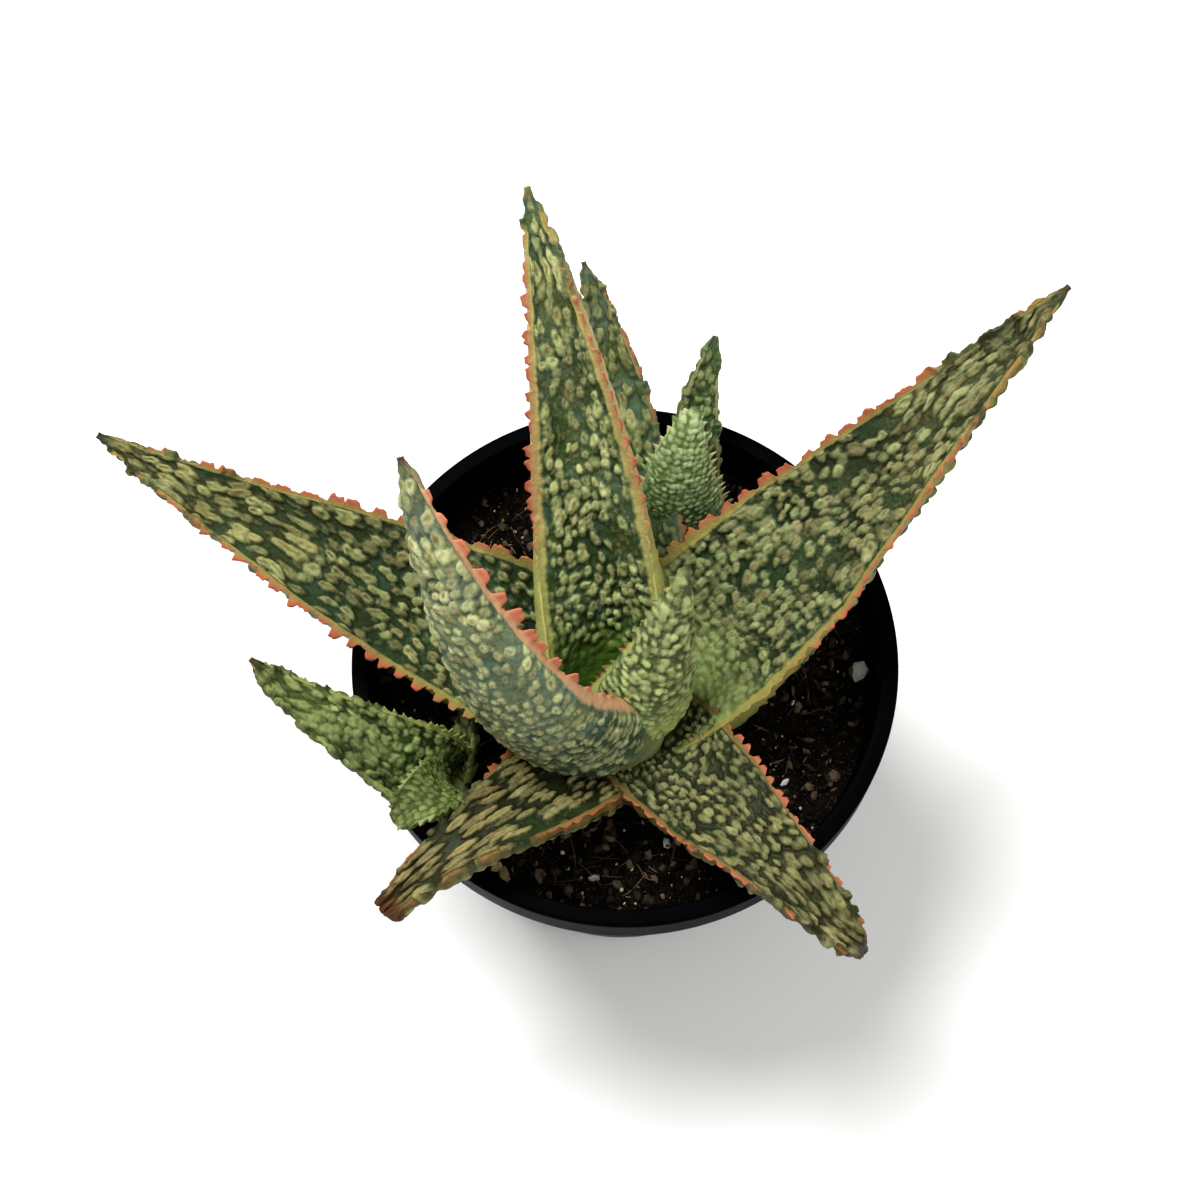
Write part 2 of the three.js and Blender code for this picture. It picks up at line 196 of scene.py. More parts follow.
# leaf skin: green ground, pale warts with brown hearts, a coloured toothed edge
def makeLeafSkin():
    colours = ["Ground", "Ground patch", "Wart", "Wart warm", "Heart", "Painted crease shade", "Base", "Edge plain",
               "Edge coral", "Tooth", "Tip"]
    amounts = ["Tip start", "Coral spread", "Warmth", "Heart amount", "Base end", "Under pale"]
    inputs = {**{key: "Color" for key in colours}, **{key: "Float" for key in amounts}}
    outputs = {"Color": "Color", "Roughness": "Float", "Height": "Float"}
    tree, given, out = newGroup("leafSkin", inputs, outputs)
    along, wart, heart, tone, rim = (attribute(tree, k) for k in ("along", "wart", "heart", "tone", "rim"))
    edge, reach, coral, under = (attribute(tree, k) for k in ("edge", "reach", "coral", "under"))
    coarse, middle, fine = objectNoise(tree, 130), objectNoise(tree, 420), objectNoise(tree, 1700)

    patch = soften(tree, coarse, 0.42, 0.62)
    ground = mixColour(tree, patch, given["Ground"], given["Ground patch"])
    ground = mixColour(tree, calc(tree, "MULTIPLY", fine, 0.16), ground, given["Wart"])
    # warts: their own tone picks a pale or a warm colour, warmer towards the tip
    warm = calc(tree, "MULTIPLY_ADD", along, 0.5, calc(tree, "MULTIPLY", tone, 0.8))
    warm = calc(tree, "MULTIPLY", warm, given["Warmth"], clamp=True)
    wartColour = mixColour(tree, warm, given["Wart"], given["Wart warm"])
    # each wart has its own strength, and a painted highlight pales it towards its top
    own = calc(tree, "FRACT", calc(tree, "MULTIPLY", tone, 7.3))
    shade = calc(tree, "MULTIPLY_ADD", wart, 0.5, calc(tree, "MULTIPLY_ADD", own, 0.4, 0.2))
    shade = calc(tree, "MULTIPLY_ADD", fine, 0.4, shade)
    wartColour = mixColour(tree, 1.0, wartColour, greyOf(tree, shade), "MULTIPLY")
    ragged = calc(tree, "MULTIPLY_ADD", calc(tree, "SUBTRACT", fine, 0.5), 0.4, wart)
    skin = mixColour(tree, soften(tree, ragged, 0.08, 0.85), ground, wartColour)
    # painted shade darkens the crease round a wart, and it is browner towards the tip
    browner = calc(tree, "MULTIPLY", soften(tree, along, 0.4, 0.9), 0.6)
    creaseShade = mixColour(tree, browner, given["Painted crease shade"], given["Heart"])
    skin = mixColour(tree, calc(tree, "MULTIPLY", rim, 0.55), skin, creaseShade)
    brown = calc(tree, "MULTIPLY", heart, given["Heart amount"])
    brown = calc(tree, "MULTIPLY", brown, soften(tree, middle, 0.25, 0.5))
    skin = mixColour(tree, brown, skin, given["Heart"])
    # pale at the base, and paler on the lower side
    atBase = calc(tree, "DIVIDE", along, given["Base end"], clamp=True)
    atBase = calc(tree, "SUBTRACT", 1.0, soften(tree, atBase, 0.25, 1.0))
    skin = mixColour(tree, calc(tree, "MULTIPLY", atBase, 0.85), skin, given["Base"])
    pale = mixColour(tree, 0.5, skin, given["Base"])
    skin = mixColour(tree, calc(tree, "MULTIPLY", under, given["Under pale"]), skin, pale)
    # slow changes of shade over the whole leaf
    slow = calc(tree, "MULTIPLY_ADD", objectNoise(tree, 45, 1), 0.9, 0.55)
    skin = mixColour(tree, 1.0, skin, greyOf(tree, slow), "MULTIPLY")
    # the edge band runs from plain to coral, and its teeth are deeper
    outer = calc(tree, "MULTIPLY_ADD", edge, given["Coral spread"], calc(tree, "MULTIPLY", reach, 1.6))
    reddening = calc(tree, "MULTIPLY", coral, outer, clamp=True)
    edgeColour = mixColour(tree, reddening, given["Edge plain"], given["Edge coral"])
    deeper = calc(tree, "MULTIPLY", soften(tree, reach, 0.3, 1.0), coral)
    edgeColour = mixColour(tree, deeper, edgeColour, given["Tooth"])
    grain = calc(tree, "MULTIPLY_ADD", middle, 0.5, 0.7)
    edgeColour = mixColour(tree, 1.0, edgeColour, greyOf(tree, grain), "MULTIPLY")
    worn = calc(tree, "MULTIPLY_ADD", calc(tree, "SUBTRACT", middle, 0.5), 0.9, edge)
    skin = mixColour(tree, soften(tree, worn, 0.3, 0.9), skin, edgeColour)
    # the dry tip
    atTip = calc(tree, "SUBTRACT", calc(tree, "MULTIPLY_ADD", middle, 0.04, along), given["Tip start"])
    atTip = soften(tree, atTip, 0.0, 0.04)
    skin = mixColour(tree, atTip, skin, given["Tip"])
    tree.links.new(skin, out["Color"])
    # bare skin shines a little more than the warts, and small droplets most
    dull = calc(tree, "MULTIPLY_ADD", wart, 0.08, 0.42)
    dull = calc(tree, "MULTIPLY_ADD", fine, 0.14, dull)
    droplet = soften(tree, objectNoise(tree, 900, 1), 0.72, 0.76)
    tree.links.new(calc(tree, "MULTIPLY_ADD", droplet, -0.4, dull, clamp=True), out["Roughness"])
    tree.links.new(calc(tree, "MULTIPLY_ADD", middle, 0.5, fine), out["Height"])
    return tree


leafSkin = makeLeafSkin()

plainLook = {
    # the crease colour is painted shade between the warts
    "Ground": "0d1c05", "Ground patch": "16301a", "Painted crease shade": "081204",
    "Wart": "8f9a6e", "Wart warm": "8b835c", "Heart": "5e4322", "Base": "7d8a49",
    "Edge plain": "8f8a4e", "Edge coral": "b06e4e", "Tooth": "ab5c46", "Tip": "4e382a",
    "Tip start": 0.986,      # where the dry tip begins, as a share of the length
    "Coral spread": 0.15,    # how much coral the edge band gets between its teeth
    "Warmth": 0.6,           # how warm the warts are
    "Heart amount": 0.8,     # how strong their brown hearts are
    "Base end": 0.12,        # where the pale base ends
    "Under pale": 0.2,       # how much paler the lower side is
}
leafFinish = {
    "Subsurface Weight": 0.06, "Subsurface Radius": (0.8, 1.0, 0.4), "Subsurface Scale": 0.0012,
    "Specular IOR Level": 0.18,
}


def leafMaterial(name, look):
    material, tree, shader = newMaterial(name)
    values = {key: colour(v) if isinstance(v, str) else v for key, v in {**plainLook, **look}.items()}
    skin = node(tree, "ShaderNodeGroup", values, node_tree=leafSkin)
    normal = bump(tree, skin.outputs["Height"], 0.5, 0.0003)
    feed(tree, shader, {"Base Color": skin.outputs["Color"], "Roughness": skin.outputs["Roughness"],
                        "Normal": normal, **leafFinish})
    return material


# the warts of a plain leaf
plainWarts = {
    "pitch": (2.3, 1.9),     # spacing along (at the base) and across
    "lengthen": 0.5,         # how much longer the spacing is at the tip
    "size": (0.38, 0.6),     # radius as a share of the spacing, least and most
    "grow": (0.95, 1.1),     # size at the base and at the tip
    "jitter": (0.7, 0.65),   # how far a wart strays from its place, along and across
    "drift": 1.6,            # how far the rows wander
    "bow": 0.0,              # how much the rows curve round the tip
    "ragged": 0.26,          # how uneven the outlines are
    "share": 0.9,            # how many places hold a wart
    "gaps": 1.0,             # how much the bare patches thin them
    "height": 1.0,
    "lean": 0.5,             # how far the tops lean towards the tip
    "heart": (0.45, 0.28),   # length and width of the brown heart
    "flat": 2.0,             # a higher number makes a flatter top
    "brood": (1.9, 0.5, 0.4),   # small warts between: how much finer, how tall, how many
    "web": (0.0, 4, 9),      # pale skin that joins the warts: strength, and its patches' size
}

plainTeeth = {
    "pitch": 3.2,
    "height": (0.9, 2.0),
    "width": (0.6, 1.0),     # as a share of the pitch
    "rise": 0.5,             # long slope on the base side
    "fall": 0.25,            # short slope on the tip side
    "small": 0.3,            # share of height of the small teeth between
    "lean": 0.3,             # how far they lean towards the tip, read from the left edge's teeth
    "along": ((0, 0.08, 0.2, 0.6, 1), (0, 0, 1, 0.9, 0.6)),
}


# the same teeth for both edges of a leaf
def bothEdges(teeth=plainTeeth, **changes):
    return (dict(teeth, **changes),) * 2


# Pairs of rows give places along the leaf and the values there. Each leaf adds its path, four
# points of the middle line; face, the way its upper side looks at the base and the tip; width;
# cup, the half angle of its arc at three places; and thick, its thickness at base and tip.
plainLeaf = {
    "slot": "leaf",
    "taper": (1.45, 1.0),    # the width falls as (1 - s^first)^second
    "blunt": 0.6,            # half width of the blunt end
    "neck": 0.85,            # width at the very base, as a share
    "knob": 0.0,             # how much the tip swells
    "flange": 0.6,           # thickness at the margins
    "spread": 0.0,           # how far the teeth turn out of the leaf's curve
    "step": 0.35,            # spacing of the mesh
    "bare": (0.03, 0.12),    # the warts start between these shares of the length
    "breaks": (0.3, 0.7),    # the edge band breaks up between these
    "edgeBand": 1.2,         # width of the coloured edge
    "bandAlong": ((0, 0.3, 0.6, 1), (1, 0.9, 0.4, 0.2)),
    "coralLeft": ((0, 0.2, 0.4, 0.8, 1), (0, 0.1, 1, 0.7, 0.2)),
    "coralRight": ((0, 0.2, 0.4, 0.8, 1), (0, 0.1, 1, 0.7, 0.2)),
    "warts": plainWarts, "underWarts": plainWarts, "teeth": bothEdges(),
}


# the middle line is a cubic through four points, measured by length; up is turned
# square to it, and side completes the frame
def leafAxis(leaf, s):
    a, b, c, d = (np.array(p, float) for p in leaf["path"])

    def cubic(t):
        t = t[:, None]
        return (a * (1 - 3 * t) * (2 - 3 * t) * (1 - t) / 2 + b * 9 * t * (2 - 3 * t) * (1 - t) / 2
                + c * 9 * t * (3 * t - 1) * (1 - t) / 2 + d * t * (3 * t - 1) * (3 * t - 2) / 2)

    fine = np.linspace(0, 1, 600)
    lengths = np.r_[0, np.cumsum(np.linalg.norm(np.diff(cubic(fine), axis=0), axis=1))]
    t = np.interp(s * lengths[-1], lengths, fine)
    forward = unit(cubic(np.minimum(t + 0.002, 1)) - cubic(np.maximum(t - 0.002, 0)))
    faces = [unit(np.array(f, float)) for f in leaf["face"]]
    up = faces[0] * (1 - s)[:, None] + faces[1] * s[:, None]
    up = unit(up - (up * forward).sum(1, keepdims=True) * forward)
    return cubic(t), forward, up, np.cross(forward, up), lengths[-1]


# half width: the body falls with two powers of s, plus a blunt end, times a neck that swells
def leafHalfWidth(leaf, s):
    early, late = leaf["taper"]
    body = (leaf["width"] / 2 - leaf["blunt"]) * (1 - s ** early) ** late
    end = leaf["blunt"] * np.sqrt(1 - s ** 24)
    swell = leaf["neck"] + (1 - leaf["neck"]) * np.sin(np.minimum(s * 4, 1) * math.pi / 2)
    return np.maximum((body + end) * swell, 0.35)


# Warts stand one to a cell of a wandering grid whose cells lengthen towards the tip, and a
# smaller brood stands between them. Each is a dome, sqrt(1 - r^flat), over a ragged ellipse;
# where two meet the higher one shows. Returns height, brown heart, tone and rim, the painted shade in the
# creases.
def wartCover(x, y, s, length, warts, seed):
    drift, ragged, lengthen = warts["drift"], warts["ragged"], warts["lengthen"]
    along = length / warts["pitch"][0] * np.log1p(lengthen * s) / lengthen
    along = along + drift * (patches(x / 9, y / 9, seed + 5) - 0.5)
    along = along + ragged * (patches(x, y / 0.8, seed + 12) - 0.5)
    along = along - warts["bow"] * (y / 5) ** 2
    across = y / warts["pitch"][1] + drift * (patches(x / 7, y / 7, seed + 6) - 0.5)
    across = across + ragged * (patches(x, y / 0.8, seed + 13) - 0.5)
    grow = between(*warts["grow"], s)
    height, heart, tone, ring = (np.zeros_like(along) for k in range(4))
    for finer, tall, share in ((1, 1, warts["share"]), warts["brood"]):
        gx, gy = along * finer, across * finer
        for di in (-1, 0, 1):
            for dj in (-1, 0, 1):
                i, j = np.floor(gx) + di, np.floor(gy) + dj
                px = i + 0.5 + (chance(i, j, seed) - 0.5) * warts["jitter"][0]
                py = j + 0.5 + (chance(i, j, seed + 1) - 0.5) * warts["jitter"][1]
                size = between(*warts["size"], chance(i, j, seed + 2)) * grow
                dx, dy = (gx - px) / size, (gy - py) / size
                r = np.hypot(dx, dy)
                here = share + warts["gaps"] * (patches(i / 3 / finer, j / 3 / finer, seed + 4) - 0.5)
                present = chance(i, j, seed + 3 + finer) < here
                dome = np.sqrt(np.clip(1 - r ** warts["flat"], 0, 1)) * present
                dome = dome * tall * between(0.6, 1, chance(i, j, seed + 9))
                ring = np.maximum(ring, present * np.clip(1 - np.abs(r - 1) / 0.4, 0, 1))
                a, b = warts["heart"]
                mark = np.clip(1.3 - ((dx - 0.15) / a) ** 2 - (dy / b) ** 2, 0, 1)
                take = dome > height
                height = np.where(take, dome, height)
                heart = np.where(take, mark * between(0.3, 1, chance(i, j, seed + 7)), heart)
                tone = np.where(take, chance(i, j, seed + 8), tone)
        seed += 60
    web, webLong, webWide = warts["web"]
    joined = web * ease(0.35, 0.65, patches(x / webLong, y / webWide, seed))
    joined = joined * between(0.7, 1, patches(x / 0.8, y / 0.8, seed + 1))
    # rim is painted shade round each wart's outline, fading on the wart and where pale skin joins the warts
    rim = ring * np.clip(1 - 1.5 * height, 0, 1) * (1 - joined)
    return np.maximum(height, joined), heart, tone, rim


# Teeth stand one to a pitch along the edge. Each is a block that rises slowly from the base
# side and falls steeply on the tip side; small teeth fill in between, and noise frays them.
def toothLine(x, s, teeth, seed):
    line = np.zeros_like(x)
    for pitch, share, shift in ((teeth["pitch"], 1.0, 0), (teeth["pitch"] * 0.37, teeth["small"], 20)):
        for di in (-1, 0, 1):
            i = np.floor(x / pitch) + di
            middle = (i + 0.5 + (chance(i, 1, seed + shift) - 0.5) * 0.6) * pitch
            width = between(*teeth["width"], chance(i, 2, seed + shift)) * pitch
            v = (x - middle) / (width / 2)
            slopes = np.minimum((v + 1) / teeth["rise"], (1 - v) / teeth["fall"])
            shape = np.clip(slopes, 0, 1) * (0.85 + 0.15 * v)
            tall = between(*teeth["height"], chance(i, 3, seed + shift)) * share
            line = np.maximum(line, shape * tall)
    return line * (0.8 + 0.4 * patches(x / 0.6, x * 0, seed + 9)) * np.interp(s, *teeth["along"])


# A leaf is a ring carried along its middle line. The upper side is an arc of half angle cup,
# and the lower side lies thick * sqrt(1 - u^2) below it. Past each margin a thin flange
# reaches out by the tooth line and leans forward. Warts lift both sides along the normal.
def growLeaf(name, leaf):
    seed = leaf["seed"]
    length = leafAxis(leaf, np.array([0.0, 1.0]))[-1]
    rows = int(length / leaf["step"])
    across = int(leaf["width"] / leaf["step"] * 0.85)
    s = np.linspace(0, 1, rows + 1)
    centre, forward, up, side, length = leafAxis(leaf, s)
    # the width wavers a little, and a knob may swell near the tip
    w = leafHalfWidth(leaf, s) * (1 + 0.05 * (patches(s * length / 9, s * 0, seed) - 0.5))
    w = w * (1 + leaf["knob"] * np.exp(-((s - 0.965) / 0.022) ** 2))
    cup = np.interp(s, (0, 0.4, 1), leaf["cup"])
    slim = np.clip(6 * w / leaf["width"], 0.3, 1)
    thick = np.maximum(between(*leaf["thick"], s) * slim, 0.6)

    # the ring runs from the right flange over the upper side to the left one, and back below
    half = np.r_[1, 1, 1, np.linspace(1, -1, across), -1, -1, -1]
    outHalf = np.r_[1, 0.66, 0.33, np.zeros(across), 0.33, 0.66, 1]
    last = len(half) - 1
    ring = np.r_[0:last + 1, last - 1:0:-1]
    below = np.r_[np.zeros(last + 1), np.ones(last - 1)][None, :]
    u, out = half[ring][None, :], outHalf[ring][None, :]

    x = s * length
    left, right = leaf["teeth"]
    # teeth shrink where the leaf is narrow, and each edge reads its own stretch of noise
    blunted = np.minimum(w / 1.5, 1)
    tall = np.where(u > 0, (toothLine(x + 500, s, right, seed + 31) * blunted)[:, None],
                    (toothLine(x + 900, s, left, seed + 62) * blunted)[:, None])
    reach = tall * out
    toothed = out * np.clip(tall / 0.8, 0, 1)
    coralLeft, coralRight = (np.interp(s, *leaf[key])[:, None] for key in ("coralLeft", "coralRight"))
    coral = np.where(u > 0, coralRight, coralLeft)

    inside = (1 - np.abs(u)) * w[:, None]
    band = (leaf["edgeBand"] * np.clip(w / 6, 0.2, 1) * np.interp(s, *leaf["bandAlong"]))[:, None]
    x2, y2, s2 = np.broadcast_arrays(x[:, None], u * w[:, None], s[:, None])
    top = wartCover(x2, y2, s2, length, leaf["warts"], seed)
    low = wartCover(x2, y2, s2, length, leaf["underWarts"], seed + 150)
    wart, heart, tone, rim = (np.where(below > 0.5, b, a) for a, b in zip(top, low))
    # the edge band breaks up towards the tip, and the warts reach the margin in its gaps
    whole = ease(0.38, 0.62, patches(x2 / 2.6, np.sign(u) * 5, seed + 77))
    edge = (1 - ease(band * 0.2, band * 1.1, inside)) * between(1, whole, ease(*leaf["breaks"], s)[:, None])
    fade = ease(*leaf["bare"], s)[:, None] * np.minimum(w / 1.5, 1)[:, None] * (1 - edge)
    wart, heart, rim = wart * fade, heart * fade, rim * fade

    angle = u * cup[:, None]
    bend = (w / cup)[:, None]
    sine, cosine = np.sin(angle)[..., None], np.cos(angle)[..., None]
    side, up, forward = side[:, None], up[:, None], forward[:, None]
    normal = up * cosine - side * sine
    flare = (angle * (1 - leaf["spread"] * out))[..., None]
    outward = (side * np.cos(flare) + up * np.sin(flare)) * u[..., None]
    points = centre[:, None] + side * bend[..., None] * sine + up * bend[..., None] * (1 - cosine)
    points = points + outward * reach[..., None] + forward * (reach * left["lean"])[..., None]
    deep = thick[:, None] * np.sqrt(1 - u * u)
    deep = deep + leaf["flange"] * np.minimum(w / 3, 1)[:, None] * (1 - 0.75 * out)
    points = points - normal * (deep * below)[..., None]
    tallHere = np.where(below > 0.5, leaf["underWarts"]["height"], leaf["warts"]["height"])
    leanHere = np.where(below > 0.5, leaf["underWarts"]["lean"], leaf["warts"]["lean"])
    lumps = roughNoise(x2 / 1.3, y2 / 1.1 + 40 * below, seed, 2) - 0.5
    rise = wart * tallHere * (1 + 0.9 * lumps) + 0.25 * lumps
    points = points + normal * (rise * (1 - 2 * below))[..., None]
    points = points + forward * (wart * tallHere * leanHere)[..., None]
    points = points + outward * (wart * tallHere * 0.5 * np.abs(u) ** 3)[..., None]

    count = len(ring)
    points = points.reshape(-1, 3)
    faces = gridFaces(rows + 1, count).tolist()
    for start in (0, rows * count):  # both ends close straight across, upper to lower side
        k = np.arange(1, last - 1)
        strip = np.stack([start + k, start + k + 1, start + count - k - 1, start + count - k], -1)
        ends = [[start, start + 1, start + count - 1], [start + last - 1, start + last, start + last + 1]]
        caps = strip.tolist() + ends
        faces += [f[::-1] for f in caps] if start == 0 else caps
    values = {"wart": wart, "heart": heart, "tone": tone, "edge": edge, "along": s2, "coral": coral,
              "under": below, "reach": toothed, "rim": rim}
    values = {key: np.broadcast_to(v, x2.shape).ravel() for key, v in values.items()}
    material = leafMaterial(leaf["material"], leaf["look"])
    makePiece(name, points, facesOut(points, faces), material, [leaf["node"]], values)


# the leaves, heart first; its outer side faces the front, with brown teeth on the left as seen
# and pale ones on the right
leafHeart = dict(
    plainLeaf, node="leaf_heart", seed=3,
    path=[(1.5, -14.5, 87), (4.5, -11.5, 102), (7.5, -4.5, 114.5), (10.5, 4.5, 124)],
    face=[(-0.3, 0.8, 0), (-0.3, 0.8, -0.3)], width=31, cup=(1.2, 0.9, 0.7), thick=(4, 1.2),
    spread=0.8, taper=(1.1, 1.15), neck=0.9, step=0.3, edgeBand=2.4,
    bandAlong=((0, 0.25, 0.4, 1), (1.3, 1, 0.35, 0.25)),
    underWarts=dict(plainWarts, pitch=(1.25, 1.35), size=(0.42, 0.66), jitter=(0.5, 0.8), share=0.95,
                    gaps=0.5, height=0.85, heart=(0.3, 0.3), bow=0.6),
    teeth=(dict(plainTeeth, pitch=1.9, height=(0.6, 1.3), rise=1.0, along=((0, 0.1, 1), (0, 1, 0.8))),
           dict(plainTeeth, pitch=1.9, height=(1.2, 2.2), width=(0.7, 1.0), rise=1.1, fall=0.4)),
    coralLeft=((0, 0.4, 0.6, 1), (0, 0.1, 0.5, 0.6)), coralRight=((0, 0.2, 0.35, 1), (0, 0.4, 1, 0.8)),
    material="heartGreen", look={
        "Ground": "283c16", "Ground patch": "324a38", "Wart": "9ea974", "Wart warm": "8e8e60",
        "Heart amount": 0.15, "Base": "bac47c", "Base end": 0.38, "Edge plain": "a9b468", "Painted crease shade": "26361a",
        "Edge coral": "8a6846", "Tooth": "7c5840"},
)
growLeaf("leafHeart", leafHeart)

# its outer side faces the front: fine teeth on the left as seen, big hooked ones on the right
leafFrontUpright = dict(
    plainLeaf, node="leaf_front_upright", seed=7,
    path=[(-1, -16.5, 84), (-17, -18, 112), (-28.5, -7, 137), (-37, 11, 155)],
    face=[(-0.1, 0.9, -0.1), (0.5, 0.8, -0.2)], width=27, cup=(1.2, 0.38, 0.5), thick=(6, 1.5),
    taper=(1.7, 1.0), edgeBand=1.8, bandAlong=((0, 0.15, 0.38, 0.46, 1), (1, 1.2, 1.1, 0.3, 0.2)),
    spread=0.75, breaks=(0.8, 1.2),
    underWarts=dict(plainWarts, pitch=(1.5, 1.65), lengthen=0.9, jitter=(0.4, 0.6), drift=1.1, share=0.97,
                    gaps=1.3, size=(0.42, 0.62), height=0.95, heart=(0.4, 0.36), web=(0.4, 4, 7),
                    brood=(1.8, 0.5, 0.4), bow=0.3),
    teeth=(dict(plainTeeth, pitch=5.0, height=(2.3, 3.3), width=(0.5, 0.75), fall=0.2, small=0.12,
                along=((0, 0.1, 0.16, 0.4, 0.45, 0.78, 0.9, 1), (0, 0.1, 0.25, 0.3, 1, 0.85, 0.45, 0.3))),
           dict(plainTeeth, pitch=2.2, height=(0.8, 1.5), small=0.6,
                along=((0, 0.06, 0.15, 1), (0, 0.3, 1, 0.8)))),
    coralLeft=((0, 0.12, 0.2, 0.45, 0.85, 1), (0, 0.1, 0.95, 1, 0.9, 0.5)), coralRight=((0, 1), (0.1, 0.25)),
    material="frontGreen", look={
        "Ground": "324a32", "Ground patch": "42605a", "Wart": "b6bd8c", "Wart warm": "96956a",
        "Heart": "6e4e28", "Painted crease shade": "263a2a", "Heart amount": 0.9, "Base": "949a68", "Edge plain": "b8a57c",
        "Edge coral": "c47e60", "Tooth": "c8785e", "Coral spread": 0.45, "Under pale": 0.05},
)
growLeaf("leafFrontUpright", leafFrontUpright)

leafBackUpright = dict(
    plainLeaf, node="leaf_back_upright", seed=11,
    path=[(-3, -6, 86), (-6, 15, 111.5), (-10.5, 35, 138), (-17, 57, 162)],
    face=[(0, -0.8, 0.5), (-0.1, -0.8, 0.6)], width=28, cup=(1.3, 0.6, 0.8), thick=(7, 1.5),
    taper=(1.4, 1.0), edgeBand=3.0, breaks=(0.65, 1.1),
    bandAlong=((0, 0.25, 0.5, 0.75, 1), (0.8, 1, 0.85, 0.4, 0.25)),
    warts=dict(plainWarts, pitch=(2.2, 1.7), lengthen=0.6, share=0.95, heart=(0.4, 0.34),
               size=(0.42, 0.64), web=(0.3, 5, 6)),
    teeth=bothEdges(pitch=3.4, height=(1.0, 2.3), along=((0, 0.27, 0.4, 0.8, 1), (0, 0, 1, 0.9, 0.5))),
    coralLeft=((0, 0.28, 0.4, 0.75, 1), (0, 0.05, 1, 0.9, 0.2)),
    coralRight=((0, 0.28, 0.45, 0.75, 1), (0, 0.05, 0.8, 0.9, 0.2)),
    material="backGreen", look={
        "Ground": "203a0e", "Ground patch": "305040", "Wart": "b2bc82", "Wart warm": "a29c6e",
        "Base": "4a6820", "Base end": 0.2, "Edge plain": "b0b06c", "Edge coral": "c98a66",
        "Coral spread": 0.4, "Tip": "7a6c48"},
)
growLeaf("leafBackUpright", leafBackUpright)

leafRight = dict(
    plainLeaf, node="leaf_right", seed=17,
    path=[(4, -7, 84), (28, 9.5, 106.5), (50, 24.5, 132), (74.5, 44, 152)],
    face=[(-0.5, -0.4, 0.8), (-0.5, -0.4, 0.8)], width=40, cup=(1, 0.35, 0.9), thick=(7, 1.8),
    taper=(1.3, 1.08), neck=0.78, edgeBand=2.4, breaks=(0.55, 1.0),
    bandAlong=((0, 0.25, 0.45, 1), (1, 0.8, 0.35, 0.15)),
    warts=dict(plainWarts, pitch=(1.75, 1.6), lengthen=1.2, share=0.95, gaps=0.9, grow=(1.25, 1.05),
               web=(0.3, 6, 5)),
    teeth=(dict(plainTeeth, pitch=4.4, height=(1.2, 2.4), width=(0.65, 1.0), rise=0.35, lean=0.15),
           plainTeeth),
    coralLeft=((0, 0.2, 0.4, 0.75, 1), (0, 0.15, 1, 0.8, 0.2)),
    coralRight=((0, 0.22, 0.4, 0.7, 1), (0, 0.15, 0.95, 0.8, 0.2)),
    material="rightGreen", look={
        "Wart": "93a06e", "Wart warm": "847d58", "Warmth": 0.85, "Base": "8a9a5c", "Base end": 0.24},
)
growLeaf("leafRight", leafRight)

leafLeft = dict(
    plainLeaf, node="leaf_left", seed=23,
    path=[(-4, -7, 84), (-34.5, 5.5, 96), (-64, 15, 113.5), (-94.5, 28.5, 126)],
    face=[(0.4, -0.3, 0.9), (0.3, -0.3, 0.9)], width=36, cup=(1, 0.3, 0.7), thick=(7, 1.8),
    taper=(1.5, 1.12), edgeBand=1.4, breaks=(0.6, 1.0),
    warts=dict(plainWarts, pitch=(2.7, 2.0), lengthen=0.9, share=0.92, gaps=0.9, height=0.95, flat=2.6,
               size=(0.38, 0.55), ragged=0.2, drift=1.2, heart=(0.6, 0.3)),
    teeth=(dict(plainTeeth, pitch=3.6, height=(1.6, 2.8), width=(0.55, 0.9)),
           dict(plainTeeth, pitch=4.8, height=(1.2, 2.4), width=(0.65, 0.95), rise=0.35)),
    material="leftGreen", look={
        "Ground": "12260c", "Ground patch": "24402c", "Wart": "949d6c", "Wart warm": "8c8454",
        "Heart": "5a3f1c", "Heart amount": 0.9, "Tip": "33301c", "Painted crease shade": "1a240c"},
)
growLeaf("leafLeft", leafLeft)

leafFrontRight = dict(
    plainLeaf, node="leaf_front_right", seed=29,
    path=[(3.5, -14, 83), (14, -28.5, 95), (27.5, -44, 101), (42, -59, 96)],
    face=[(-0.4, 0.5, 0.8), (-0.3, 0.4, 0.9)], width=27, cup=(0.9, 0.3, 0.7), thick=(6, 1.8),
    taper=(1.3, 1.0), blunt=2, edgeBand=1.1,
    warts=dict(plainWarts, pitch=(1.7, 1.5), lengthen=1.3, share=0.96, gaps=0.5, height=1.2,
               size=(0.42, 0.58), ragged=0.2),
    teeth=bothEdges(pitch=2.7, height=(0.7, 1.8)),
    material="lowGreen", look={
        "Ground": "0b1604", "Ground patch": "182c0e", "Wart": "868a60", "Wart warm": "80764c",
        "Heart": "4e3818", "Edge plain": "6e6038", "Tip": "4c463c", "Tip start": 0.96, "Painted crease shade": "161806"},
)
growLeaf("leafFrontRight", leafFrontRight)

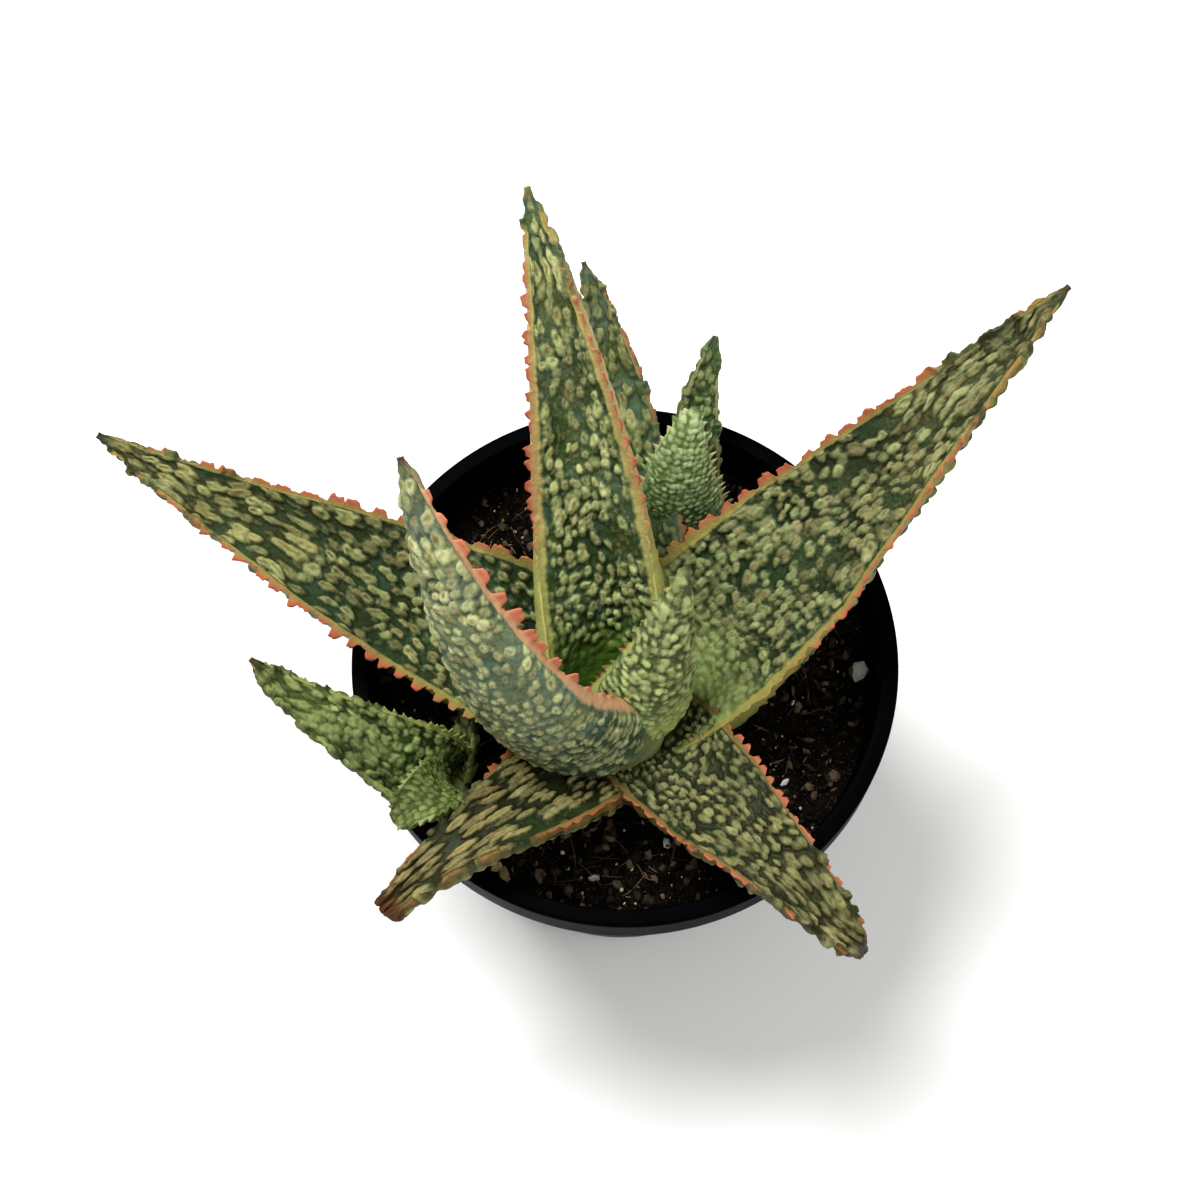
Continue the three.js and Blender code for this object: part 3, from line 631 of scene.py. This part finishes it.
# its end has dried to a blunt brown knob
leafFrontLeft = dict(
    plainLeaf, node="leaf_front_left", slot="leaf_dry", seed=37,
    path=[(-2, -15, 83), (-14.5, -27.5, 93), (-28.5, -39, 100), (-43.5, -51.5, 95)],
    face=[(0.4, 0.5, 0.8), (0.3, 0.4, 0.9)], width=27, cup=(0.9, 0.3, 0.9), thick=(6, 2.5),
    taper=(1.1, 1.15), blunt=1.8, knob=0.45, edgeBand=0.8,
    warts=dict(plainWarts, pitch=(2.2, 1.5), lengthen=3.2, size=(0.4, 0.54), jitter=(0.8, 0.4), share=0.98,
               gaps=0.3, height=1.2, drift=0.7, ragged=0.12, flat=3, heart=(0.75, 0.3),
               brood=(1.9, 0.4, 0.2)),
    teeth=bothEdges(pitch=2.6, height=(0.6, 1.5)),
    coralLeft=((0, 0.3, 0.6, 1), (0.6, 0.7, 0.2, 0)), coralRight=((0, 0.3, 0.6, 1), (0.8, 0.7, 0.5, 0.2)),
    material="dryingGreen", look={
        "Ground": "0a1604", "Ground patch": "183414", "Wart": "949464", "Wart warm": "8e7a50",
        "Heart": "52391a", "Heart amount": 0.75, "Edge plain": "80693c", "Edge coral": "a06440",
        "Tooth": "9c5838", "Tip": "54381f", "Tip start": 0.93, "Painted crease shade": "181408"},
)
growLeaf("leafFrontLeft", leafFrontLeft)

leafBackLow = dict(
    plainLeaf, node="leaf_back_low", seed=41,
    path=[(1.5, -1, 83), (2.5, 25, 88), (-1, 49.5, 98.5), (-8, 72.5, 111)],
    face=[(0, -0.6, 0.8), (0.1, -0.6, 0.8)], width=22, cup=(1.1, 0.45, 0.6), thick=(5, 1.5), edgeBand=0.9,
    warts=dict(plainWarts, share=0.8), teeth=bothEdges(pitch=2.6, height=(0.8, 1.7)),
    material="behindGreen", look={
        "Ground": "365029", "Ground patch": "526a56", "Wart": "8f9966", "Wart warm": "8f8a5a",
        "Edge plain": "857a50", "Edge coral": "a06c50", "Tooth": "985a46"},
)
growLeaf("leafBackLow", leafBackLow)
print("main rosette grown")

# the two offsets: young leaves with fine waves of small warts and pale teeth
fineWaves = dict(plainWarts, pitch=(1.2, 1.4), lengthen=0.8, size=(0.45, 0.66), jitter=(0.25, 0.8),
                 drift=1.2, bow=1.0, share=0.97, gaps=0.2, height=0.65, heart=(0.2, 0.2), flat=1.7,
                 brood=(1.9, 0.4, 0.2), lean=0.8)
fineTeeth = dict(plainTeeth, pitch=1.7, height=(1.3, 2.4), width=(0.8, 1.1), rise=1.5, fall=0.4, lean=0.7,
                 along=((0, 0.1, 0.2, 1), (0, 0.3, 1, 0.5)))
youngLeaf = dict(plainLeaf, slot="leaf_young", coralLeft=((0, 1), (0, 0)), coralRight=((0, 1), (0, 0)))

backOffsetFront = dict(
    youngLeaf, node="back_offset_leaf_front", seed=43,
    path=[(12.5, 28.5, 78), (11, 30, 89), (11, 35.5, 99), (13.5, 43.5, 107)],
    face=[(0, 0.8, -0.1), (0, 0.8, -0.5)], width=18, cup=(0.9, 0.4, 0.35), thick=(2.4, 0.8),
    taper=(2.2, 1.0), step=0.2, edgeBand=0.5, spread=0.9, warts=fineWaves,
    underWarts=dict(fineWaves, pitch=(0.85, 1.15), height=0.4, bow=1.4, ragged=0.4),
    teeth=bothEdges(fineTeeth, height=(1.6, 2.9)),
    material="youngGrey", look={
        "Ground": "647c44", "Ground patch": "6a8450", "Wart": "aebc90", "Wart warm": "a4ae7e",
        "Heart amount": 0.05, "Edge plain": "c0ba8c", "Painted crease shade": "566e3c", "Base": "6e8043", "Tip": "48543a"},
)
growLeaf("backOffsetFront", backOffsetFront)

backOffsetRear = dict(
    youngLeaf, node="back_offset_leaf_rear", seed=47,
    path=[(12.5, 28, 78), (13, 36, 90), (14.5, 46, 100.5), (17.5, 58, 108)],
    face=[(0, -0.8, 0.6), (0, -0.6, 0.8)], width=14, cup=(1.2, 0.7, 0.8), thick=(3, 1),
    step=0.27, edgeBand=0.6, warts=dict(plainWarts, pitch=(1.9, 1.6), share=0.85, height=0.7),
    teeth=bothEdges(fineTeeth, height=(0.6, 1.2)),
    material="youngDeep", look={
        "Ground": "2c4520", "Ground patch": "405c3c", "Wart": "82935f", "Wart warm": "8a9060",
        "Edge plain": "908a60", "Heart amount": 0.3},
)
growLeaf("backOffsetRear", backOffsetRear)

leftOffsetOuter = dict(
    youngLeaf, node="left_offset_leaf_outer", seed=53,
    path=[(-34, -23, 79), (-42.5, -22.5, 97.5), (-55.5, -16.5, 104.5), (-67.5, -8.5, 110.5)],
    face=[(0.6, -0.3, 0.7), (0.3, -0.2, 0.9)], width=19, cup=(1.2, 0.6, 0.8), thick=(3.2, 1.2), neck=0.6,
    step=0.27, edgeBand=0.6,
    warts=dict(plainWarts, pitch=(1.7, 1.6), size=(0.45, 0.72), ragged=0.45, lengthen=0.6, share=0.92,
               gaps=0.7, height=0.8, flat=1.8, heart=(0.2, 0.2), bow=0.5),
    teeth=bothEdges(fineTeeth, height=(0.9, 1.8), along=((0, 0.1, 0.2, 0.35, 1), (0, 0.9, 1.6, 0.8, 0.6))),
    material="youngBright", look={
        "Ground": "22360e", "Ground patch": "3a5420", "Wart": "88965e", "Wart warm": "828656",
        "Heart amount": 0.25, "Edge plain": "909858", "Base": "465c22"},
)
growLeaf("leftOffsetOuter", leftOffsetOuter)

# a short broad leaf that rises and tips over towards the front left, frilled all round
leftOffsetFront = dict(
    youngLeaf, node="left_offset_leaf_front", seed=59,
    path=[(-32.5, -26, 80), (-32.8, -27.5, 94), (-35.5, -31, 101.5), (-42, -35.8, 100.5)],
    face=[(0.6, 0.5, 0.3), (0.1, 0.2, 0.9)], width=12, cup=(1.1, 0.7, 0.5), thick=(2.2, 1),
    taper=(4, 0.75), neck=0.5, step=0.2, edgeBand=0.4, spread=0.6, underWarts=fineWaves,
    warts=dict(fineWaves, pitch=(0.8, 1.3), bow=1.4, height=0.45),
    teeth=bothEdges(fineTeeth, pitch=1.2, height=(0.5, 1.1), along=((0, 0.3, 0.5, 1), (0, 0.3, 1, 1))),
    material="youngPale", look={
        "Ground": "3e4f22", "Ground patch": "475a28", "Wart": "78864e", "Wart warm": "78824f",
        "Heart amount": 0.05, "Edge plain": "858f5c", "Painted crease shade": "2e3f18", "Base": "5e6e36"},
)
growLeaf("leftOffsetFront", leftOffsetFront)

leftOffsetSmall = dict(
    youngLeaf, node="left_offset_leaf_small", seed=61,
    path=[(-32, -22, 80), (-30.8, -16.5, 84.5), (-30, -11, 87), (-29.5, -5, 87.5)],
    face=[(-0.4, 0, 0.9), (-0.4, 0, 0.9)], width=6, cup=(0.9, 0.7, 0.6), thick=(2, 1),
    step=0.25, edgeBand=0.4, warts=dict(plainWarts, pitch=(1.7, 1.5), height=0.5),
    teeth=bothEdges(fineTeeth, pitch=1.4, height=(0.3, 0.6)),
    material="youngOlive", look={"Ground": "343f1a", "Wart": "7c8852", "Edge plain": "7e7f50"},
)
growLeaf("leftOffsetSmall", leftOffsetSmall)
print("offsets grown")

# the pot: a turned profile with a rolled lip
pot = {
    "height": 88, "baseRadius": 38, "rimRadius": 52.5, "wall": 1.2, "floor": 1.6,
    "lip": 9,           # height of the lip
    "lipStep": 1.4,     # how far it stands out from the wall
    "lipRound": 0.5,    # radius of its lower edge
    "roll": 0.7,        # radius of its top
    "baseRound": 1,     # radius of the edge under the wall
    "columns": 192,
    "holes": 6, "holeRadius": 4, "holeRing": 28,
    "dust": "33322f",
    # the rim and the inside get a darker, barely reflecting copy of the same plastic: painted shade
    "shade": ("010102", "06070b", 1.07),    # rim and inside: dark, light, index of refraction
    "gloss": ("050608", "0e0f12", 1.3),     # outer wall and base
}


# cloudy black plastic with dust in its grit
def makePotPlastic(name, dark, light, ior):
    material, tree, shader = newMaterial(name)
    cloud, grit = objectNoise(tree, 60, 5), objectNoise(tree, 2600, 2)
    dust = soften(tree, calc(tree, "MULTIPLY_ADD", grit, 0.35, cloud), 0.78, 1.1)
    base = mixColour(tree, cloud, colour(dark), colour(light))
    feed(tree, shader, {
        "Base Color": mixColour(tree, calc(tree, "MULTIPLY", dust, 0.5), base, colour(pot["dust"])),
        "Roughness": calc(tree, "MULTIPLY_ADD", cloud, 0.25, 0.3),
        "Normal": bump(tree, grit, 0.25, 0.0002), "IOR": ior})
    return material


# six points on a quarter round about (r, z) from one angle to another
def quarter(r, z, radius, start, end):
    a = np.radians(np.linspace(start, end, 6))
    return [(r + radius * math.cos(k), z + radius * math.sin(k)) for k in a]


# The floor is a sector for each hole. In it a ring of points slides from the sector's outline
# to the round hole, up through it, and back out to the outline of the floor's upper side.
def potFloor(lowRadius, highRadius):
    arc, ray = pot["columns"] // pot["holes"], 8  # steps round a sector's arc and along its rays
    away = np.linspace(0, 1, ray + 1)[:-1]
    reach = np.r_[away, np.ones(arc + 1), away[:0:-1]]
    swing = np.r_[np.zeros(ray), np.linspace(0, 1, arc + 1), np.ones(ray - 1)]
    spin = np.linspace(math.pi, 3 * math.pi, len(reach), endpoint=False)
    levels = ((lowRadius, 0.0, (1, 0.5, 0)), (highRadius, pot["floor"], (0, 0.5, 1)))
    sectors = []
    for k in range(pot["holes"]):
        first = 2 * math.pi * k / pot["holes"]
        a = first + swing * 2 * math.pi / pot["holes"]
        middle = first + math.pi / pot["holes"]
        hub = pot["holeRing"] * np.array([math.cos(middle), math.sin(middle)])
        hole = hub + pot["holeRadius"] * np.stack([np.cos(spin + middle), np.sin(spin + middle)], -1)
        rows = []
        for radius, height, shares in levels:
            edge = radius * np.stack([reach * np.cos(a), reach * np.sin(a)], -1)
            rows += [np.c_[between(hole, edge, share), np.full(len(a), height)] for share in shares]
        sectors.append(np.array(rows))
    return sectors


# each row of the profile, from the base up and down inside again, is turned about the axis
def makePot():
    base, rim, roll, top = pot["baseRadius"], pot["rimRadius"], pot["roll"], pot["height"]
    baseRound, lipRound, lipFoot = pot["baseRound"], pot["lipRound"], top - pot["lip"]
    wallTop = rim - pot["lipStep"] - roll
    innerTop = wallTop - pot["wall"]
    innerFoot = base - pot["wall"] + 0.1  # the wall has leant out that far at the floor
    profile = quarter(base - baseRound, baseRound, baseRound, -90, 0)
    upwards, downwards = np.linspace(0.02, 1, 24), np.linspace(0, 1, 24)
    profile += [(between(base, wallTop, t), between(baseRound, lipFoot, t)) for t in upwards]
    profile += quarter(rim - lipRound, lipFoot + lipRound, lipRound, -90, 0)
    profile += [(rim, between(lipFoot + 2 * lipRound, top - roll, t)) for t in (0.1, 0.5, 0.95)]
    profile += quarter(rim - roll, top - roll, roll, 0, 90)
    profile += quarter(innerTop + roll * 0.6, top - roll * 0.6, roll * 0.6, 90, 180)
    profile += [(between(innerTop, innerFoot, t), between(lipFoot, pot["floor"], t)) for t in downwards]
    r, z = np.array(profile).T
    turn = np.linspace(0, 2 * math.pi, pot["columns"], endpoint=False)
    x, y = r[:, None] * np.cos(turn), r[:, None] * np.sin(turn)
    wall = np.stack([x, y, np.broadcast_to(z[:, None], x.shape)], -1)
    points, faces = wall.reshape(-1, 3), gridFaces(*wall.shape[:2]).tolist()
    for sector in potFloor(r[0], r[-1]):
        faces += (gridFaces(*sector.shape[:2])[:, ::-1] + len(points)).tolist()
        points = np.concatenate([points, sector.reshape(-1, 3)])
    # the darker copy comes first: painted shade for the rim and the inside
    shade = makePotPlastic("potPaintedShade", *pot["shade"])
    return makePiece("potShell", points, faces, shade, ["pot"])


# joins doubled points and turns every face outwards
def weld(piece):
    work = bmesh.new()
    work.from_mesh(piece.data)
    bmesh.ops.remove_doubles(work, verts=work.verts, dist=1e-6)
    bmesh.ops.recalc_face_normals(work, faces=work.faces)
    work.to_mesh(piece.data)
    work.free()
    piece.data.set_sharp_from_angle(angle=math.radians(50))


# the outer wall and the base get the glossier copy of the plastic; the rim and the inside keep
# the darker, barely reflecting copy, which is painted shade
def glossPot(piece):
    mesh = piece.data
    mesh.materials.append(makePotPlastic("potGloss", *pot["gloss"]))
    centres, normals = np.zeros(len(mesh.polygons) * 3), np.zeros(len(mesh.polygons) * 3)
    mesh.polygons.foreach_get("center", centres)
    mesh.polygons.foreach_get("normal", normals)
    centres, normals = centres.reshape(-1, 3) / mm, normals.reshape(-1, 3)
    outwards = (unit(centres * (1, 1, 0)) * normals).sum(1)
    lip = centres[:, 2] > pot["height"] - pot["lip"]
    shaded = lip | (outwards < -0.3)
    mesh.polygons.foreach_set("material_index", np.where(shaded, 0, 1))


potShell = makePot()
weld(potShell)
glossPot(potShell)
print("pot turned")

# the soil: a rough bed with crumbs, fibres and white grains
soil = {
    "level": 75.5, "radius": 48.6, "rings": 105, "columns": 320,
    "clods": (13, 2.4), "lumps": (3.2, 2.6),    # width and height
    "under": [(48.6, 74), (44, 40), (36.9, 2.0), (20, 2.0), (0.4, 2.0)],    # side and bottom, as (r, z)
    "crumbs": 3000, "fibres": 650, "specks": 260,
    "grains": [(46.4, 0.4), (22, -37), (-6, -41), (31, -22), (38, 14), (24, 38), (-20, 36), (-38, 12),
               (8, -34), (17, -30), (33, -6), (-12, -36)],
    "bigGrain": 1.9,    # size of the first grain
    "scraps": [(-24.6, -38.8), (-23.2, -40.4)],
    "dark": "010100", "brown": "18110a", "flecks": "5c4b34",
    "crumbBrown": ("0a0805", "7c6c54"), "fibreBrown": ("1c140c", "9a8a6c"),    # small bits: dark, pale
    "speckWhite": ("6a6250", "d8d4c6"), "grainWhite": ("8d8a80", "e4e4de"), "scrapTan": ("5e5236", "b9ab80"),
}
draw = np.random.default_rng(12)


# broad clods plus finer and finer lumps
def soilHeight(x, y):
    (clod, clodHeight), (lump, lumpHeight) = soil["clods"], soil["lumps"]
    broad = (roughNoise(x / clod, y / clod, 2, 2) - 0.5) * clodHeight
    fine = (roughNoise(x / lump, y / lump, 9, 4) - 0.5) * lumpHeight
    return soil["level"] + broad + fine


def makeSoilMaterial():
    material, tree, shader = newMaterial("soilBrown")
    broad, fine = objectNoise(tree, 320, 5), objectNoise(tree, 2200, 3)
    dark, brown, flecks = (colour(soil[key]) for key in ("dark", "brown", "flecks"))
    base = mixColour(tree, soften(tree, broad, 0.35, 0.7), dark, brown)
    feed(tree, shader, {
        "Base Color": mixColour(tree, soften(tree, fine, 0.56, 0.78), base, flecks),
        "Roughness": calc(tree, "MULTIPLY_ADD", fine, 0.2, 0.78), "Specular IOR Level": 0.08,
        "Normal": bump(tree, fine, 0.7, 0.0006)})
    return material


# small bits share a material whose colour goes from dark to pale with the shade attribute
def makeBitMaterial(name):
    material, tree, shader = newMaterial(name)
    dark, pale = (colour(text) for text in soil[name])
    fine = objectNoise(tree, 1500, 3)
    mixed = mixColour(tree, attribute(tree, "shade"), dark, pale)
    feed(tree, shader, {
        "Base Color": mixColour(tree, calc(tree, "MULTIPLY", fine, 0.5), mixed, dark),
        "Roughness": calc(tree, "MULTIPLY_ADD", fine, 0.2, 0.7), "Specular IOR Level": 0.15,
        "Normal": bump(tree, fine, 0.4, 0.0003)})
    return material


# rings of points from the middle to the wall, lifted by soilHeight, then the side and bottom
def makeSoil():
    under = np.array(soil["under"])
    r = np.r_[np.linspace(0.02, 1, soil["rings"]) * soil["radius"], under[:, 0]]
    turn = np.linspace(0, 2 * math.pi, soil["columns"], endpoint=False)
    x, y = r[:, None] * np.cos(turn), r[:, None] * np.sin(turn)
    z = soilHeight(x, y)
    z[-len(under):] = under[:, 1:]
    middles = [[0, 0, z[0].mean()], [0, 0, under[-1, 1]]]
    points = np.concatenate([np.stack([x, y, z], -1).reshape(-1, 3), middles])
    faces = gridFaces(len(r), len(turn)).tolist()
    here, ahead = np.arange(len(turn)), np.roll(np.arange(len(turn)), -1)
    last = (len(r) - 1) * len(turn)
    top, bottom = len(points) - 2, len(points) - 1
    faces += np.stack([ahead, here, np.full_like(here, top)], -1).tolist()
    faces += np.stack([last + here, last + ahead, np.full_like(here, bottom)], -1).tolist()
    makePiece("soilBed", points, facesOut(points, faces), makeSoilMaterial(), ["soil"])


# the corners and faces of a 20-sided lump
golden = (1 + 5 ** 0.5) / 2
lumpPoints = unit(np.array([
    (-1, golden, 0), (1, golden, 0), (-1, -golden, 0), (1, -golden, 0),
    (0, -1, golden), (0, 1, golden), (0, -1, -golden), (0, 1, -golden),
    (golden, 0, -1), (golden, 0, 1), (-golden, 0, -1), (-golden, 0, 1)], float))
lumpFaces = np.array([
    (0, 11, 5), (0, 5, 1), (0, 1, 7), (0, 7, 10), (0, 10, 11), (1, 5, 9), (5, 11, 4), (11, 10, 2),
    (10, 7, 6), (7, 1, 8), (3, 9, 4), (3, 4, 2), (3, 2, 6), (3, 6, 8), (3, 8, 9), (4, 9, 5),
    (2, 4, 11), (6, 2, 10), (8, 6, 7), (9, 8, 1)])


# random turns as matrices, from random quaternions
def randomTurns(count):
    q = unit(draw.normal(size=(count, 4)))
    w, x, y, z = q.T
    return np.stack([
        np.stack([1 - 2 * (y * y + z * z), 2 * (x * y - w * z), 2 * (x * z + w * y)], -1),
        np.stack([2 * (x * y + w * z), 1 - 2 * (x * x + z * z), 2 * (y * z - w * x)], -1),
        np.stack([2 * (x * z - w * y), 2 * (y * z + w * x), 1 - 2 * (x * x + y * y)], -1)], -2)


# many copies of a 20-sided lump, each stretched, dented, turned and set on the soil
def scatterLumps(name, places, sizes, shade, material, sink=0.3):
    count, corners = len(places), len(lumpPoints)
    stretch = sizes[:, None] * draw.uniform(0.15, 1.6, (count, 3))
    dents = draw.uniform(0.75, 1.15, (count, corners, 1))
    local = lumpPoints[None] * dents * stretch[:, None]
    local = np.einsum("nij,nkj->nki", randomTurns(count), local)
    x, y = places.T
    seat = np.stack([x, y, soilHeight(x, y) + sizes * (0.5 - sink)], -1)
    points = (local + seat[:, None]).reshape(-1, 3)
    faces = (lumpFaces[None] + np.arange(count)[:, None, None] * corners).reshape(-1, 3).tolist()
    values = {"shade": np.repeat(shade, corners)}
    makePiece(name, points, faces, makeBitMaterial(material), values=values, smooth=False)


# random places on the soil, evenly by area
def soilPlaces(count, margin=1.0):
    r = np.sqrt(draw.uniform(0, 1, count)) * (soil["radius"] - margin)
    a = draw.uniform(0, 2 * math.pi, count)
    return np.stack([r * np.cos(a), r * np.sin(a)], -1)


# thin threads: a bowed line of six points, each with a small triangle round it that thins out
def makeFibres():
    count, steps, sides = soil["fibres"], 6, 3
    start = soilPlaces(count, 6)
    a = draw.uniform(0, 2 * math.pi, count)
    length = draw.uniform(1.5, 7, count)
    t = np.linspace(-0.5, 0.5, steps)[None, :]
    bow = draw.normal(0, 0.25, count)[:, None] * length[:, None] * (0.25 - t * t)
    x = start[:, :1] + np.cos(a)[:, None] * t * length[:, None] - np.sin(a)[:, None] * bow
    y = start[:, 1:] + np.sin(a)[:, None] * t * length[:, None] + np.cos(a)[:, None] * bow
    away = np.minimum(1, (soil["radius"] - 0.6) / np.hypot(x, y))
    x, y = x * away, y * away
    lift = draw.uniform(0.1, 1.1, count)[:, None] * (0.6 - t * draw.uniform(-1.2, 1.2, count)[:, None])
    line = np.stack([x, y, soilHeight(x, y) + lift + 0.1], -1)
    radius = draw.uniform(0.06, 0.16, count)[:, None] * np.sqrt(np.clip(1 - (2 * t) ** 2 * 0.85, 0.05, 1))
    spin = np.arange(sides) * 2 * math.pi / sides
    sideways = np.stack([-np.sin(a), np.cos(a), 0 * a], -1)[:, None, None]
    upwards = np.array([0, 0, 1.0])
    around = sideways * np.cos(spin)[:, None] + upwards * np.sin(spin)[:, None]
    tube = line[:, :, None] + around * radius[:, :, None, None]
    first = np.arange(count)[:, None, None] * steps * sides
    last = steps * sides - 1
    faces = (gridFaces(steps, sides)[None] + first).reshape(-1, 4).tolist()
    ends = np.array([[0, 1, 2], [last, last - 1, last - 2]])
    faces += (ends[None] + first).reshape(-1, 3).tolist()
    values = {"shade": np.repeat(draw.uniform(0, 1, count) ** 2, steps * sides)}
    makePiece("soilFibres", tube.reshape(-1, 3), faces, makeBitMaterial("fibreBrown"), values=values)


makeSoil()
crumbs, specks = soil["crumbs"], soil["specks"]
scatterLumps("soilCrumbs", soilPlaces(crumbs), draw.uniform(0.25, 1.1, crumbs) ** 1.5,
             draw.uniform(0, 1, crumbs) ** 3, "crumbBrown")
scatterLumps("soilSpecks", soilPlaces(specks), draw.uniform(0.12, 0.36, specks),
             draw.uniform(0.3, 1, specks), "speckWhite", sink=0)
grains = np.array(soil["grains"], float)
others = len(grains) - 1
scatterLumps("whiteGrains", grains, np.r_[soil["bigGrain"], draw.uniform(0.5, 0.9, others)],
             np.r_[1, draw.uniform(0.5, 1, others)], "grainWhite", sink=0)
makeFibres()
scatterLumps("driedScrap", np.array(soil["scraps"]), np.array([2.2, 1.5]), np.array([0.9, 0.6]),
             "scrapTan", sink=-0.1)
print("soil laid")

# the stems keep their CAD shape and get a sappy green bark
bark = {"dark": "56602f", "light": "9aa067", "stems": ("stem_main", "stem_back_offset", "stem_left_offset")}
stemMaterial, stemTree, stemShader = newMaterial("stemGreen")
stemNoise = objectNoise(stemTree, 500, 4)
feed(stemTree, stemShader, {
    "Base Color": mixColour(stemTree, stemNoise, colour(bark["dark"]), colour(bark["light"])),
    "Roughness": calc(stemTree, "MULTIPLY_ADD", stemNoise, 0.3, 0.5),
    "Normal": bump(stemTree, stemNoise, 0.5, 0.0005)})
for stemName in bark["stems"]:
    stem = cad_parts[stemName]
    stem.data.materials.clear()
    stem.data.materials.append(stemMaterial)
print("stems finished")

# floor, light and camera; the floor and the lights are in metres
stageSet = {
    "floor": 3.0, "floorColour": "f4f4f2",
    "sky": 0.42,                # strength of the even white light
    "lights": {                 # place, width, power in watts
        "keyLight": ((-0.35, 0.3, 1.15), 0.45, 13),
        "fillLight": ((0.6, -0.4, 1.0), 0.9, 4)},
    "lightAim": (0, 0, 0.09),
    "aim": (-4.8, 11.1, 88),    # the camera looks at this point, in millimetres
    "distance": 380, "elevation": 69.6, "lens": 58.82, "sensor": 36,
}

floorMesh = bpy.data.meshes.new("floor")
reach = stageSet["floor"]
corners = [(-reach, -reach, 0), (reach, -reach, 0), (reach, reach, 0), (-reach, reach, 0)]
floorMesh.from_pydata(corners, [], [(0, 1, 2, 3)])
floor = bpy.data.objects.new("floor", floorMesh)
scene.collection.objects.link(floor)
floorMaterial, floorTree, floorShader = newMaterial("floorPale")
feed(floorTree, floorShader, {"Base Color": colour(stageSet["floorColour"]), "Roughness": 0.9})
floorMesh.materials.append(floorMaterial)

for lightName, (place, size, power) in stageSet["lights"].items():
    lamp = bpy.data.lights.new(lightName, "AREA")
    lamp.shape, lamp.size, lamp.energy = "DISK", size, power
    light = bpy.data.objects.new(lightName, lamp)
    scene.collection.objects.link(light)
    light.location = place
    towards = np.array(stageSet["lightAim"]) - np.array(place)
    light.rotation_mode = "QUATERNION"
    light.rotation_quaternion = Vector(towards).to_track_quat("-Z", "Y")

world = bpy.data.worlds.new("studio")
world.use_nodes = True
feed(world.node_tree, world.node_tree.nodes["Background"], {0: (1, 1, 1, 1), 1: stageSet["sky"]})
scene.world = world
scene.view_settings.view_transform = "Standard"
scene.view_settings.look = "Medium High Contrast"

cameraData = bpy.data.cameras.new("camera")
cameraData.lens, cameraData.sensor_width = stageSet["lens"], stageSet["sensor"]
cameraData.sensor_fit = "HORIZONTAL"
cameraData.clip_start = 0.01
camera = bpy.data.objects.new("camera", cameraData)
scene.collection.objects.link(camera)
tilt = math.radians(stageSet["elevation"])
aimX, aimY, aimZ = (v * mm for v in stageSet["aim"])
back = stageSet["distance"] * mm
camera.location = (aimX, aimY - back * math.cos(tilt), aimZ + back * math.sin(tilt))
camera.rotation_euler = (math.pi / 2 - tilt, 0, 0)
bpy.context.scene.camera = camera
print("stage set")
